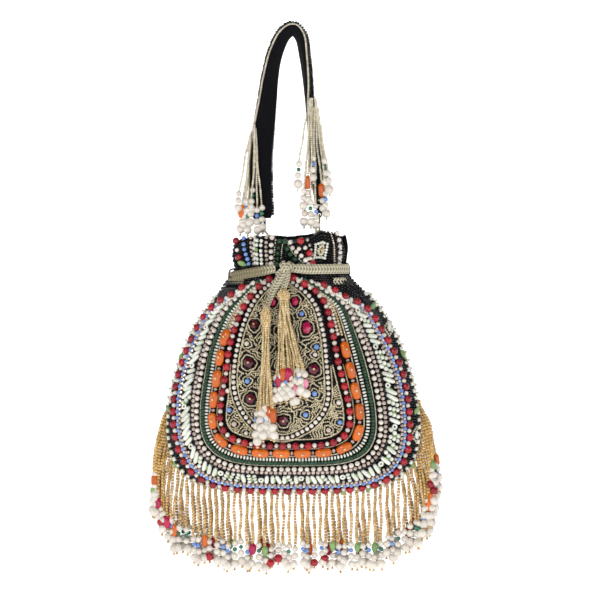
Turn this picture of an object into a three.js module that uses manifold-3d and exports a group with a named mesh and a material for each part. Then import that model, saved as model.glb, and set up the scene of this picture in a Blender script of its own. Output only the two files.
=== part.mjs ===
// A beaded potli bag: a gathered drawstring pouch that hangs from a padded wrist strap.
// Millimetres, +Z up, front towards -Y. The origin is on the underside of the strap's arch,
// where a hand or a peg carries the whole bag.

import * as THREE from 'three';
import { ParametricGeometry } from 'three/addons/geometries/ParametricGeometry.js';
import { mergeVertices } from 'three/addons/utils/BufferGeometryUtils.js';
import Module from 'manifold-3d';

const wasm = await Module();
wasm.setup();

// ---------------------------------------------------------------- driving dimensions

const GAP = 0.3;                 // air left between pieces that touch

const RIM_Z = -161;              // top of the gathered frill
const NECK_Z = -188;             // the drawstring's height
const BASE_Z = -363;             // lowest point of the pouch's bottom seam
// The pouch from its base to its rim: [half width, half depth, height].
const POUCH = [
  [0, 0, BASE_Z], [32, 5, -362.2], [62, 11, -359.6], [82, 19, -353], [94, 28, -340],
  [99.4, 35.5, -322], [99.6, 39, -304], [94.5, 40, -279], [86.5, 37.5, -253], [76, 33.5, -231],
  [62, 28.5, -211], [49, 24, -198], [41.5, 21, NECK_Z], [41, 21, -180], [42, 22, -170],
  [40.5, 22.5, RIM_Z],
];
const PANEL_THICK = 2.6;
const LINING_THICK = 1.2;
const FOLDS = 9;                 // gathered folds round the neck
const FOLD_DEPTH = 2.6;          // at the rim
const FOLD_START_Z = -222;       // the folds fade out below here

const PIPING_R = 1.5;
const PIPING_TOP_Z = -206;

const CORD_W = 7.4;              // flat braided drawstring
const CORD_T = 2.6;
const CORD_RING = { rx: 45.4, ry: 26, z: NECK_Z };
const KNOT = { x: -7, y: -31, z: NECK_Z };

const PIVOT_Z = -156;            // the bag swings here on the strap's two links
const PIVOT_X = [-24.5, 20.8];
const WIRE_R = 0.9;              // metal links and rings

const STRAP_W = 18;
const STRAP_T = 6.4;
// Strap centreline from the left end over the arch to the right end: [x, z].
const STRAP_PATH = [
  [-25, -146], [-26.2, -122], [-26, -100], [-23.6, -76], [-20.4, -51], [-18.4, -33],
  [-14.4, -14], [-7, 1.5], [0, 5.6], [5.4, 0], [8.6, -16], [10.8, -34], [12.4, -54],
  [15.4, -74], [18.6, -96], [20.6, -118], [20.8, -135],
];
// How far the strap is turned about its own length, in degrees, evenly along it.
const STRAP_TWIST = [-90, -88, -74, -52, -36, -28, -16, -6, 22, 40, 40];

const FRINGE_THICK = 3;
const FRINGE_PITCH = 4.9;
const STRAND_W = 2.3;
const BEAD_END = { width: 4.2, height: 15 };
const FRINGE_LENGTH = 66;
const FRINGE_SIDE_Z = -303;      // where the strands outside the seam start

// ---------------------------------------------------------------- materials

const finish = (color, roughness, metalness = 0) =>
  new THREE.MeshStandardMaterial({ color, roughness, metalness });

const BEADED = finish(0x9c8f86, 0.4);
const BLACK_BEADS = finish(0x17171a, 0.35);
const VELVET = finish(0x0d0d10, 0.95);
const SATIN = finish(0x14352a, 0.5);
const GOLD_BEADS = finish(0xc8a468, 0.35, 0.5);
const BRAID = finish(0xb3a679, 0.45, 0.6);
const METAL = finish(0x8f7c4c, 0.35, 0.9);
const CREAM = finish(0xd9cdb2, 0.4);
const TAPE = finish(0x141416, 0.8);

// ---------------------------------------------------------------- helpers

const object = new THREE.Group();

/** Adds one named piece to the object, or to a group of it. */
function piece(name, geometry, material, parent = object) {
  const mesh = new THREE.Mesh(geometry, material);
  mesh.name = name;
  parent.add(mesh);
  return mesh;
}

/** A closed geometry with only positions, shared vertices and its faces pointing out. */
function welded(geometry) {
  geometry.deleteAttribute('normal');
  geometry.deleteAttribute('uv');
  const merged = mergeVertices(geometry, 1e-4);
  return signedVolume(merged) < 0 ? flipped(merged) : merged;
}

/** Six times the volume inside a closed indexed geometry, negative if it is inside out. */
function signedVolume(geometry) {
  const corner = [new THREE.Vector3(), new THREE.Vector3(), new THREE.Vector3()];
  const { index, attributes } = geometry;
  let sum = 0;
  for (let i = 0; i < index.count; i += 3) {
    corner.forEach((c, k) => c.fromBufferAttribute(attributes.position, index.getX(i + k)));
    sum += corner[0].dot(corner[1].cross(corner[2]));
  }
  return sum;
}

/** The Manifold solid of a closed geometry. */
function solid(geometry) {
  const clean = welded(geometry);
  return new wasm.Manifold(new wasm.Mesh({
    numProp: 3,
    vertProperties: new Float32Array(clean.attributes.position.array),
    triVerts: new Uint32Array(clean.index.array),
  }));
}

/** A geometry made back from a Manifold solid. */
function geometryOf(manifold) {
  const mesh = manifold.getMesh();
  const geometry = new THREE.BufferGeometry();
  geometry.setAttribute('position', new THREE.BufferAttribute(mesh.vertProperties, 3));
  geometry.setIndex(new THREE.BufferAttribute(mesh.triVerts, 1));
  return geometry;
}

/** Turns every face of an indexed geometry round. */
function flipped(geometry) {
  const index = geometry.index;
  for (let i = 0; i < index.count; i += 3) {
    const second = index.getX(i + 1);
    index.setX(i + 1, index.getX(i + 2));
    index.setX(i + 2, second);
  }
  return geometry;
}

/** A round or flat bar swept along a curve, its section given as [x, y] corners. */
function swept(section, curve, steps) {
  const shape = new THREE.Shape(section.map(([x, y]) => new THREE.Vector2(x, y)));
  return welded(new THREE.ExtrudeGeometry(shape, { steps, extrudePath: curve, bevelEnabled: false }));
}

/** Corners of an ellipse. */
function ring(rx, ry, sides) {
  return Array.from({ length: sides }, (_, i) => {
    const a = (2 * Math.PI * (i + 0.5)) / sides;
    return [rx * Math.cos(a), ry * Math.sin(a)];
  });
}

/** Whether a corner of an outline turns: points on a straight edge add nothing. */
function turns([ax, az], [bx, bz], [cx, cz]) {
  return Math.abs((bx - ax) * (cz - bz) - (bz - az) * (cx - bx)) > 1e-3;
}

/** A plate whose outline lies in X and Z, extruded evenly about y, with round holes [x, z, radius]. */
function plate(outline, thick, y = 0, holes = []) {
  const corners = outline.filter((point, i) =>
    turns(outline.at(i - 1), point, outline[(i + 1) % outline.length]));
  const shape = new THREE.Shape(corners.map(([x, z]) => new THREE.Vector2(x, z)));
  shape.holes = holes.map(([x, z, r]) => new THREE.Path().absarc(x, z, r, 0, 2 * Math.PI));
  const settings = { depth: thick, bevelEnabled: false, curveSegments: 10 };
  const geometry = new THREE.ExtrudeGeometry(shape, settings);
  geometry.rotateX(Math.PI / 2);
  geometry.translate(0, y + thick / 2, 0);
  return welded(geometry);
}

// ---------------------------------------------------------------- the pouch

const profile = new THREE.CatmullRomCurve3(
  POUCH.map(([a, b, z]) => new THREE.Vector3(a, b, z)), false, 'centripetal');

/** Half width, half depth and height of the pouch at v along its profile, inset by t. */
function section(v, t) {
  const p = profile.getPoint(v);
  const floorness = THREE.MathUtils.clamp((-330 - p.z) / 33, 0, 1);
  return { a: Math.max(p.x - t, 0), b: Math.max(p.y - t, 0), z: p.z + t * floorness };
}

/** How deep the gathered folds are at a height. */
function foldDepth(z) {
  const rise = THREE.MathUtils.smoothstep(z, FOLD_START_Z, RIM_Z);
  return FOLD_DEPTH * rise;
}

/** A point of the pouch's wall: angle runs from the right seam round the front. */
function wallPoint(angle, v, t, target) {
  const { a, b, z } = section(v, t);
  const fold = foldDepth(z) * Math.cos(FOLDS * angle + 0.6);
  const side = Math.cos(angle);
  const bulge = Math.pow(Math.max(1 - Math.pow(Math.abs(side), 2.2), 0), 0.6);
  target.set(side * (a + fold * Math.min(a / 40, 1)), -Math.sign(Math.sin(angle)) * (bulge * (b + fold)), z);
}

/** One panel, from the right seam to the left one: front for side 1, back for side -1. */
function panel(side) {
  const across = 20;
  const up = 18;
  const loop = 2 * across + 2;
  const turn = (u) => {
    const i = Math.round(u * loop) % loop;
    const outer = i <= across;
    const k = outer ? i : 2 * across + 1 - i;
    return { outer, angle: 0.012 + (Math.PI - 0.024) * (k / across) };
  };
  const inside = new THREE.Vector3();
  const geometry = new ParametricGeometry((u, v, target) => {
    const { outer, angle } = turn(u);
    const row = THREE.MathUtils.clamp(Math.round(v * (up + 2)) - 1, 0, up);
    const height = 0.012 + 0.988 * (row / up);
    wallPoint(side * angle, height, outer ? 0 : PANEL_THICK, target);
    if (v === 0 || v === 1) {
      wallPoint(side * angle, height, outer ? PANEL_THICK : 0, inside);
      target.add(inside).multiplyScalar(0.5);
    }
    target.y -= side * GAP / 2;
  }, loop, up + 2);
  return welded(geometry);
}

/** The lining: one cloth pouch inside both panels, open at the mouth. */
function lining() {
  const around = 40;
  const up = 15;
  const deep = PANEL_THICK + 4 * GAP;
  const top = 0.985;
  const geometry = new ParametricGeometry((u, v, target) => {
    const along = v * 2;
    const outer = along <= 1;
    const height = 0.02 + (top - 0.02) * (outer ? along : 2 - along);
    wallPoint(2 * Math.PI * (u % 1), height, outer ? deep : deep + LINING_THICK, target);
    if (v === 0 || v === 1) target.set(0, 0, BASE_Z + (v === 0 ? deep : deep + LINING_THICK));
  }, around, 2 * up);
  return welded(geometry);
}

piece('front_panel', panel(1), BEADED);
piece('back_panel', panel(-1), BLACK_BEADS);
piece('lining', lining(), SATIN);

// ---------------------------------------------------------------- seam piping

/** The pouch's outline in X and Z, moved outwards, from the right shoulder to the left one. */
function outlineCurve(outwards) {
  const rightSide = [];
  const rows = 30;
  for (let i = 0; i <= rows; i += 1) {
    const v = 0.06 + 0.67 * (i / rows);
    const p = profile.getPoint(v);
    const t = profile.getTangent(v);
    const length = Math.hypot(t.x, t.z);
    const point = new THREE.Vector3(p.x + outwards * (t.z / length), 0, p.z - outwards * (t.x / length));
    if (point.z < PIPING_TOP_Z) rightSide.push(point);
  }
  const leftSide = rightSide.map((p) => new THREE.Vector3(-p.x, 0, p.z));
  return new THREE.CatmullRomCurve3([...rightSide.reverse(), ...leftSide], false, 'centripetal');
}

const PIPING_OUT = PIPING_R + 0.5;
piece('seam_piping', swept(ring(PIPING_R, PIPING_R, 8), outlineCurve(PIPING_OUT), 56), GOLD_BEADS);

// ---------------------------------------------------------------- fringe

const seamPoints = outlineCurve(PIPING_OUT).getPoints(300);

/** Lowest height of the seam piping's middle at a distance from the pouch's middle. */
function seamHeight(x) {
  let lowest = FRINGE_SIDE_Z;
  for (let i = 1; i < seamPoints.length; i += 1) {
    const p = seamPoints[i - 1];
    const q = seamPoints[i];
    if ((p.x - x) * (q.x - x) <= 0 && p.x !== q.x) {
      lowest = Math.min(lowest, p.z + ((q.z - p.z) * (x - p.x)) / (q.x - p.x));
    }
  }
  return lowest;
}

/** A comb of bead strands under a heading, each strand ending in a cluster of pearls. */
function comb(strands, heading, pitch) {
  const outline = [];
  const first = strands[0];
  const last = strands[strands.length - 1];
  const halfEnd = BEAD_END.width / 2;
  const half = STRAND_W / 2;
  outline.push([first.x - half, first.top]);
  strands.forEach(({ x, top, tip }, i) => {
    const clusterTop = tip + BEAD_END.height;
    outline.push([x - half, clusterTop + 2], [x - halfEnd, clusterTop - 2], [x - halfEnd, tip + 2],
      [x, tip], [x + halfEnd, tip + 2], [x + halfEnd, clusterTop - 2], [x + half, clusterTop + 2]);
    const next = strands[i + 1];
    if (next) {
      const under = Math.min(top, next.top) - heading;
      outline.push([x + half, under], [x + pitch - half, under]);
    }
  });
  outline.push([last.x + half, last.top]);
  for (let i = strands.length - 2; i > 0; i -= 1) outline.push([strands[i].x, strands[i].top]);
  return outline;
}

/** The fringe's sections, left to right: name and the places of their strands. */
const FRINGE_SECTIONS = [
  { name: 'fringe_side_left', from: -111.2, count: 2, pitch: FRINGE_PITCH },
  { name: 'fringe_corner_left', from: -98, count: 3, pitch: FRINGE_PITCH },
  { name: 'fringe_turn_left', from: -83.3, count: 4, pitch: FRINGE_PITCH },
  { name: 'fringe_base_left', from: -63.7, count: 8, pitch: FRINGE_PITCH },
  { name: 'fringe_base_middle', from: -24.5, count: 11, pitch: FRINGE_PITCH },
  { name: 'fringe_base_right', from: 29.4, count: 8, pitch: FRINGE_PITCH },
  { name: 'fringe_turn_right', from: 68.6, count: 4, pitch: FRINGE_PITCH },
  { name: 'fringe_corner_right', from: 88.2, count: 3, pitch: FRINGE_PITCH },
  { name: 'fringe_side_right', from: 106.3, count: 2, pitch: FRINGE_PITCH },
];

for (const { name, from, count, pitch } of FRINGE_SECTIONS) {
  const strands = Array.from({ length: count }, (_, i) => {
    const x = from + i * pitch;
    const edges = [x - STRAND_W / 2, x, x + STRAND_W / 2];
    const top = Math.min(...edges.map(seamHeight)) - PIPING_R - GAP - 0.4;
    return { x, top, tip: top - FRINGE_LENGTH - (i % 2 ? 3.5 : 0) };
  });
  piece(name, plate(comb(strands, 3, pitch), FRINGE_THICK), GOLD_BEADS);
}

// ---------------------------------------------------------------- drawstring

class NeckRing extends THREE.Curve {
  /** Runs round the neck from just right of the knot, past the back, to just left of it. */
  getPoint(t, target = new THREE.Vector3()) {
    const start = Math.atan2(-0.985, -0.05);
    const angle = start + 0.06 + t * (2 * Math.PI - 0.24);
    const wave = 1.2 * Math.sin(3 * angle);
    return target.set(CORD_RING.rx * Math.cos(angle), CORD_RING.ry * Math.sin(angle), CORD_RING.z + wave);
  }
}

/** The flat braid's section: wide along its first direction. */
const braidSection = ring(CORD_W / 2, CORD_T / 2, 8);
piece('drawstring', swept(braidSection, new NeckRing(), 40), BRAID);

const knot = new THREE.SphereGeometry(1, 12, 8);
knot.scale(5.6, 3.4, 5.2);
knot.translate(KNOT.x, KNOT.y - 1.2, KNOT.z);
piece('drawstring_knot', welded(knot), BRAID);

/** Tails and tassels: their pivots and the points of their cords, hung in front of the pouch. */
const TASSELS = [
  {
    side: 'left', tail: [[-11.6, -37, -195], [-17, -39.4, -205], [-20.4, -42, -214.6]],
    head: { x: -21.6, y: -43.6, top: -216, bottom: -233 }, skirt: { from: -29.6, to: -16.4, tip: -325 },
  },
  {
    side: 'right', tail: [[-5.6, -37.4, -194.5], [-6.6, -39.4, -197.4], [-7.2, -41, -200.4]],
    head: { x: -7.6, y: -43.2, top: -202, bottom: -212 }, skirt: { from: -15.2, to: 12.4, tip: -300 },
  },
];

for (const { side, tail, head, skirt } of TASSELS) {
  const route = new THREE.CatmullRomCurve3(tail.map(([x, y, z]) => new THREE.Vector3(x, y, z)));
  piece(`drawstring_tail_${side}`, swept(ring(2.2, 1.5, 8), route, 6), BRAID);

  // A wrapped head over a skirt of bead strands, which spreads out downwards.
  const headShape = new THREE.LatheGeometry([
    new THREE.Vector2(0, head.bottom + GAP), new THREE.Vector2(4.2, head.bottom + GAP),
    new THREE.Vector2(4.4, (head.top + head.bottom) / 2), new THREE.Vector2(3.2, head.top - 1.5),
    new THREE.Vector2(0, head.top),
  ], 12);
  headShape.rotateX(Math.PI / 2);
  headShape.translate(head.x, head.y, 0);
  piece(`tassel_head_${side}`, welded(headShape), GOLD_BEADS);

  const middle = (skirt.from + skirt.to) / 2;
  const half = (skirt.to - skirt.from) / 2;
  const flare = [
    [head.x - 3.6, head.bottom - GAP], [middle - half * 0.86, head.bottom - 30],
    [skirt.from, skirt.tip + 22], [skirt.from + 0.6, skirt.tip + 4], [middle - 2, skirt.tip],
    [middle + 2, skirt.tip], [skirt.to - 0.6, skirt.tip + 4], [skirt.to, skirt.tip + 22],
    [middle + half * 0.86, head.bottom - 30], [head.x + 3.6, head.bottom - GAP],
  ];
  piece(`tassel_skirt_${side}`, plate(flare, 5, head.y - 1), GOLD_BEADS);
}

// ---------------------------------------------------------------- strap

const strapCurve = new THREE.CatmullRomCurve3(
  STRAP_PATH.map(([x, z]) => new THREE.Vector3(x, 0, z)), false, 'centripetal');

/** The strap's turn at v along it, in radians. */
function strapTwist(v) {
  const place = v * (STRAP_TWIST.length - 1);
  const i = Math.min(Math.floor(place), STRAP_TWIST.length - 2);
  const degrees = THREE.MathUtils.lerp(STRAP_TWIST[i], STRAP_TWIST[i + 1], place - i);
  return THREE.MathUtils.degToRad(degrees);
}

/** The strap's width at v along it: it tapers at both ends. */
function strapWidth(v) {
  const left = THREE.MathUtils.smoothstep(v, -0.02, 0.07);
  const right = 1 - 0.5 * THREE.MathUtils.smoothstep(v, 0.93, 1.0);
  return STRAP_W * Math.min(0.2 + 0.8 * left, right);
}

/** One layer of the strap between two heights above its middle, over a share of its width. */
function strapLayer(low, high, share = 1) {
  const steps = 44;
  const sides = 6;
  const corners = Array.from({ length: sides }, (_, i) => {
    const a = (Math.PI * i) / (sides - 1);
    return [Math.cos(a), Math.sin(a)];
  });
  const along = new THREE.Vector3();
  const out = new THREE.Vector3();
  const across = new THREE.Vector3();
  const normal = new THREE.Vector3();
  const y = new THREE.Vector3(0, 1, 0);
  const geometry = new ParametricGeometry((u, v, target) => {
    const row = THREE.MathUtils.clamp(Math.round(v * (steps + 2)) - 1, 0, steps);
    const place = row / steps;
    const centre = strapCurve.getPointAt(place);
    along.copy(strapCurve.getTangentAt(place));
    out.crossVectors(along, y);
    const twist = strapTwist(place);
    across.copy(y).multiplyScalar(Math.cos(twist)).addScaledVector(out, Math.sin(twist));
    normal.copy(out).multiplyScalar(Math.cos(twist)).addScaledVector(y, -Math.sin(twist));
    const [c, s] = corners[Math.round(u * sides) % sides];
    const half = (share * strapWidth(place)) / 2;
    const capped = v === 0 || v === 1;
    target.copy(centre).addScaledVector(across, capped ? 0 : half * c);
    target.addScaledVector(normal, low + (high - low) * (capped ? 0.5 : Math.pow(s, 0.6)));
  }, sides, steps + 2);
  return welded(geometry);
}

const CORE_HALF = 0.7;
const LAYER_GAP = 0.7;           // wide enough for the strap's twist
piece('strap_beaded_cover', strapLayer(CORE_HALF + LAYER_GAP, STRAP_T / 2), BLACK_BEADS);
piece('strap_velvet_lining', strapLayer(-CORE_HALF - LAYER_GAP, -STRAP_T / 2), VELVET);
piece('strap_core', strapLayer(-CORE_HALF, CORE_HALF, 0.86), TAPE);

// ---------------------------------------------------------------- bead strands on the strap

const FAN = 0.4;                 // how close the strands start, against where they end
const STRAP_STRANDS = [
  {
    name: 'strap_strands_left', y: -7.6, heading: -82, pitch: 3.9, head: -34,
    tips: [[-43.2, -130], [-39.3, -144], [-35.4, -153], [-31.5, -148], [-27.6, -138]],
  },
  {
    name: 'strap_strands_right', y: -11.2, heading: -48, pitch: 4.9, head: 14.5,
    tips: [[5, -104], [9.9, -130], [14.8, -150], [19.7, -152], [24.6, -146], [29.5, -118]],
  },
];

for (const { name, y, heading, pitch, head, tips } of STRAP_STRANDS) {
  const strands = tips.map(([x, tip]) => ({ x, top: heading, tip }));
  const fan = comb(strands, 3, pitch).map(([x, z]) => {
    const spread = THREE.MathUtils.lerp(1, FAN, THREE.MathUtils.smoothstep(z, heading - 30, heading));
    return [head + (x - head) * spread, z];
  });
  piece(name, plate(fan, FRINGE_THICK, y), GOLD_BEADS);
}

// ---------------------------------------------------------------- links, rings and loops

/** A stadium of centreline in the Y-Z plane, round the middles of its two bends. */
class Stadium extends THREE.Curve {
  constructor(x, top, bottom, bend) {
    super();
    Object.assign(this, { x, top, bottom, bend });
  }

  getPoint(t, target = new THREE.Vector3()) {
    const { x, top, bottom, bend } = this;
    const straight = top - bottom;
    const arc = Math.PI * bend;
    const s = (t % 1) * 2 * (straight + arc);
    if (s < straight) return target.set(x, bend, bottom + s);
    if (s < straight + arc) {
      const a = (s - straight) / bend;
      return target.set(x, bend * Math.cos(a), top + bend * Math.sin(a));
    }
    if (s < 2 * straight + arc) return target.set(x, -bend, top - (s - straight - arc));
    const a = (s - 2 * straight - arc) / bend;
    return target.set(x, -bend * Math.cos(a), bottom - bend * Math.sin(a));
  }
}

/** A triangular centreline in the X-Z plane with a round top and corners. */
function triangle(x, top, bottom) {
  const corners = [
    [-4.4, bottom], [0, bottom], [4.4, bottom], [5.5, bottom + 1.4], [3.4, top - 2],
    [1.6, top - 0.35], [0, top], [-1.6, top - 0.35], [-3.4, top - 2], [-5.5, bottom + 1.4],
  ];
  const points = corners.map(([px, pz]) => new THREE.Vector3(x + px, 0, pz));
  return new THREE.CatmullRomCurve3(points, true, 'centripetal');
}

/** Wire round a closed curve that lies in one plane. */
function closedWire(curve, steps) {
  const sides = 6;
  const next = new THREE.Vector3();
  const tangent = new THREE.Vector3();
  const start = curve.getPoint(0);
  const plane = curve.getPoint(0.25).sub(start).cross(curve.getPoint(0.5).sub(start)).normalize();
  const side = new THREE.Vector3();
  const geometry = new ParametricGeometry((u, v, target) => {
    const t = (Math.round(v * steps) % steps) / steps;
    curve.getPoint(t, target);
    curve.getPoint((t + 0.002) % 1, next);
    tangent.subVectors(next, target).normalize();
    side.crossVectors(tangent, plane);
    const angle = (2 * Math.PI * (Math.round(u * sides) % sides)) / sides;
    target.addScaledVector(side, WIRE_R * Math.cos(angle));
    target.addScaledVector(plane, WIRE_R * Math.sin(angle));
  }, sides, steps);
  return welded(geometry);
}

const LINK_BEND = 2.2;
const RING_BOTTOM_Z = PIVOT_Z - 10;
const SIDES = [
  { side: 'left', outer: -1, x: PIVOT_X[0], strapEnd: -146.4, eye: -150.6 },
  { side: 'right', outer: 1, x: PIVOT_X[1], strapEnd: -135.4, eye: -143 },
];

for (const { side, outer, x, strapEnd, eye } of SIDES) {
  // The strap ends in a tab of tape with an eye, which carries the link.
  const tab = [[x - 2.4, strapEnd], [x - 2.4, eye], [x - 1.4, eye - 2.1], [x + 1.4, eye - 2.1],
    [x + 2.4, eye], [x + 2.4, strapEnd]];
  piece(`strap_end_tab_${side}`, plate(tab, 1.8, 0, [[x, eye, 1.25]]), TAPE);
  const stadium = new Stadium(x, eye - LINK_BEND, PIVOT_Z + 0.1, LINK_BEND);
  piece(`link_${side}`, closedWire(stadium, 22), METAL);
  piece(`ring_${side}`, closedWire(triangle(x, PIVOT_Z, RING_BOTTOM_Z), 26), CREAM);

  // A tape runs from the ring's lower bar down to the side seam, inside the neck.
  const run = new THREE.LineCurve3(
    new THREE.Vector3(x, 0, RING_BOTTOM_Z - 2.4), new THREE.Vector3(outer * 34.4, 0, NECK_Z + 1));
  piece(`ring_tape_${side}`, geometryOf(tapeFold(x).add(solid(swept(ring(2.6, 0.9, 8), run, 1)))), TAPE);

  // A loop of thread on the side seam keeps the drawstring at the neck.
  const loop = [[44.6, -180.4], [48.2, -181.8], [49.4, -188], [50.6, -193.6], [50.2, -194.8]];
  const thread = new THREE.CatmullRomCurve3(loop.map(([lx, lz]) => new THREE.Vector3(outer * lx, 0, lz)));
  piece(`drawstring_loop_${side}`, swept(ring(0.8, 0.8, 8), thread, 14), TAPE);
}

/** The tape's fold round a ring's lower bar: a short thick-walled tube along X. */
function tapeFold(x) {
  const wall = new THREE.LatheGeometry([
    new THREE.Vector2(1.5, -2.6), new THREE.Vector2(2.6, -2.6), new THREE.Vector2(2.6, 2.6),
    new THREE.Vector2(1.5, 2.6), new THREE.Vector2(1.5, -2.6),
  ], 12);
  wall.rotateZ(Math.PI / 2);
  wall.translate(x, 0, RING_BOTTOM_Z);
  return solid(wall);
}

export default object;
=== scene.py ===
"""A beaded potli bag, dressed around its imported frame: cloth, bead embroidery, fringe and tassels."""

import logging
import math
from dataclasses import dataclass, field
from enum import Enum
from typing import Callable, Iterable, Sequence

import bmesh
import bpy
import numpy as np
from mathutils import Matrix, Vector


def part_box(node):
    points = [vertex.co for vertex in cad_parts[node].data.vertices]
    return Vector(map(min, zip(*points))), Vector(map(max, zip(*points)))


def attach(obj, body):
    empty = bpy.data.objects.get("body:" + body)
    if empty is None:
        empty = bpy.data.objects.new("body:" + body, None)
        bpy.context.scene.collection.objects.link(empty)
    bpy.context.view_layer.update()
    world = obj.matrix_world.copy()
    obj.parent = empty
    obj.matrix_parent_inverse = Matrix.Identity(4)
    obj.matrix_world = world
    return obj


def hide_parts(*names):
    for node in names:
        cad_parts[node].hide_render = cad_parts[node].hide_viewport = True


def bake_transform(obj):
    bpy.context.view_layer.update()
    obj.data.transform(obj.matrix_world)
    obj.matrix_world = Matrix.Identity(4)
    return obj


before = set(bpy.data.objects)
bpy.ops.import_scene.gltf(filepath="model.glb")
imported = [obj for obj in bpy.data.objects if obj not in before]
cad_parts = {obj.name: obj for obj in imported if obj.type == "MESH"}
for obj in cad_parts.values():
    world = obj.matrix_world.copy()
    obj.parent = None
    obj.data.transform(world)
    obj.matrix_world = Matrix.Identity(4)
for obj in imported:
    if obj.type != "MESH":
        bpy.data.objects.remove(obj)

logging.basicConfig(level=logging.INFO, format="%(message)s")
LOG = logging.getLogger("potli")

MM = 0.001
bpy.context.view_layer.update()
Point2 = tuple[float, float]


# ---------------------------------------------------------------- curves and numbers


def noise(*seeds: float) -> float:
    """A repeatable number from 0 to 1 for some seeds."""
    value = math.sin(sum(s * (12.9898 + 7.77 * i) for i, s in enumerate(seeds)) + 4.1) * 43758.5453
    return value - math.floor(value)


def smoothstep(x: float, low: float, high: float) -> float:
    """Rises smoothly from 0 at low to 1 at high."""
    t = min(max((x - low) / (high - low), 0.0), 1.0)
    return t * t * (3 - 2 * t)


def catmull(points: Sequence[Sequence[float]], per_span: int = 24) -> np.ndarray:
    """A centripetal Catmull-Rom curve through points.

    Args:
        points: The points to pass through.
        per_span: Samples between two points.

    Returns:
        The samples, one row each.
    """
    p = np.asarray(points, float)
    p = np.vstack([2 * p[0] - p[1], p, 2 * p[-1] - p[-2]])
    out = []
    for i in range(1, len(p) - 2):
        p0, p1, p2, p3 = p[i - 1:i + 3]
        d = [max(np.linalg.norm(b - a) ** 0.5, 1e-4) for a, b in ((p0, p1), (p1, p2), (p2, p3))]
        t1 = (p1 - p0) / d[0] - (p2 - p0) / (d[0] + d[1]) + (p2 - p1) / d[1]
        t2 = (p2 - p1) / d[1] - (p3 - p1) / (d[1] + d[2]) + (p3 - p2) / d[2]
        t1, t2 = t1 * d[1], t2 * d[1]
        for k in range(per_span):
            t = k / per_span
            out.append((2 * t**3 - 3 * t**2 + 1) * p1 + (t**3 - 2 * t**2 + t) * t1
                       + (3 * t**2 - 2 * t**3) * p2 + (t**3 - t**2) * t2)
    out.append(p[-2])
    return np.array(out)


def resample(points: np.ndarray, count: int) -> np.ndarray:
    """Evenly spaced points along a path.

    Args:
        points: The path's points, one row each.
        count: How many points to give back.

    Returns:
        The new points, from the same start to the same end.
    """
    steps = np.linalg.norm(np.diff(points, axis=0), axis=1)
    at = np.concatenate([[0], np.cumsum(steps)])
    want = np.linspace(0, at[-1], count)
    return np.column_stack([np.interp(want, at, points[:, k]) for k in range(points.shape[1])])


def path_length(points: np.ndarray) -> float:
    """Length of a path."""
    return float(np.linalg.norm(np.diff(points, axis=0), axis=1).sum())


# ---------------------------------------------------------------- finishes


@dataclass(frozen=True)
class Finish:
    """A surface finish of two tones, between which single beads or threads vary; on the braid the tone between them
    is painted shade.
    """

    name: str
    light: tuple[float, float, float]
    dark: tuple[float, float, float]
    roughness: float = 0.15
    metallic: float = 0.0
    coat: float = 0.5
    sheen: float = 0.0
    weave: float = 0.0
    weave_scale: float = 900.0
    glow: float = 0.0
    specular: float = 0.5

    def material(self) -> bpy.types.Material:
        """Builds the node material once and returns it afterwards.

        Returns:
            The material, shared by every piece of this finish.
        """
        found = bpy.data.materials.get(self.name)
        if found:
            return found
        mat = bpy.data.materials.new(self.name)
        mat.use_nodes = True
        nodes, links = mat.node_tree.nodes, mat.node_tree.links
        shader = nodes["Principled BSDF"]
        shader.inputs["Roughness"].default_value = self.roughness
        shader.inputs["Metallic"].default_value = self.metallic
        shader.inputs["Coat Weight"].default_value = self.coat
        shader.inputs["Coat Roughness"].default_value = 0.08
        shader.inputs["Sheen Weight"].default_value = self.sheen
        shader.inputs["Subsurface Weight"].default_value = self.glow
        shader.inputs["Specular IOR Level"].default_value = self.specular
        shader.inputs["Subsurface Scale"].default_value = 0.002
        place = nodes.new("ShaderNodeTexCoord")
        blotch = nodes.new("ShaderNodeTexNoise")
        blotch.inputs["Scale"].default_value = self.weave_scale if self.weave else 260.0
        blotch.inputs["Detail"].default_value = 3.0
        links.new(place.outputs["Object"], blotch.inputs["Vector"])
        # The tone attribute varies at random per bead; on the braid it carries painted shade.
        tone = nodes.new("ShaderNodeAttribute")
        tone.attribute_name = "tone"
        sums = nodes.new("ShaderNodeMath")
        sums.operation = "MULTIPLY_ADD"
        sums.inputs[1].default_value = 0.55
        sums.use_clamp = True
        links.new(blotch.outputs["Fac"], sums.inputs[0])
        spread = nodes.new("ShaderNodeMath")
        spread.operation = "MULTIPLY"
        spread.inputs[1].default_value = 0.6
        links.new(tone.outputs["Fac"], spread.inputs[0])
        links.new(spread.outputs[0], sums.inputs[2])
        mix = nodes.new("ShaderNodeMix")
        mix.data_type = "RGBA"
        mix.inputs["A"].default_value = (*self.light, 1)
        mix.inputs["B"].default_value = (*self.dark, 1)
        links.new(sums.outputs[0], mix.inputs["Factor"])
        links.new(mix.outputs["Result"], shader.inputs["Base Color"])
        if self.weave:
            bump = nodes.new("ShaderNodeBump")
            bump.inputs["Strength"].default_value = self.weave
            bump.inputs["Distance"].default_value = 0.0004
            links.new(blotch.outputs["Fac"], bump.inputs["Height"])
            links.new(bump.outputs["Normal"], shader.inputs["Normal"])
        return mat


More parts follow.
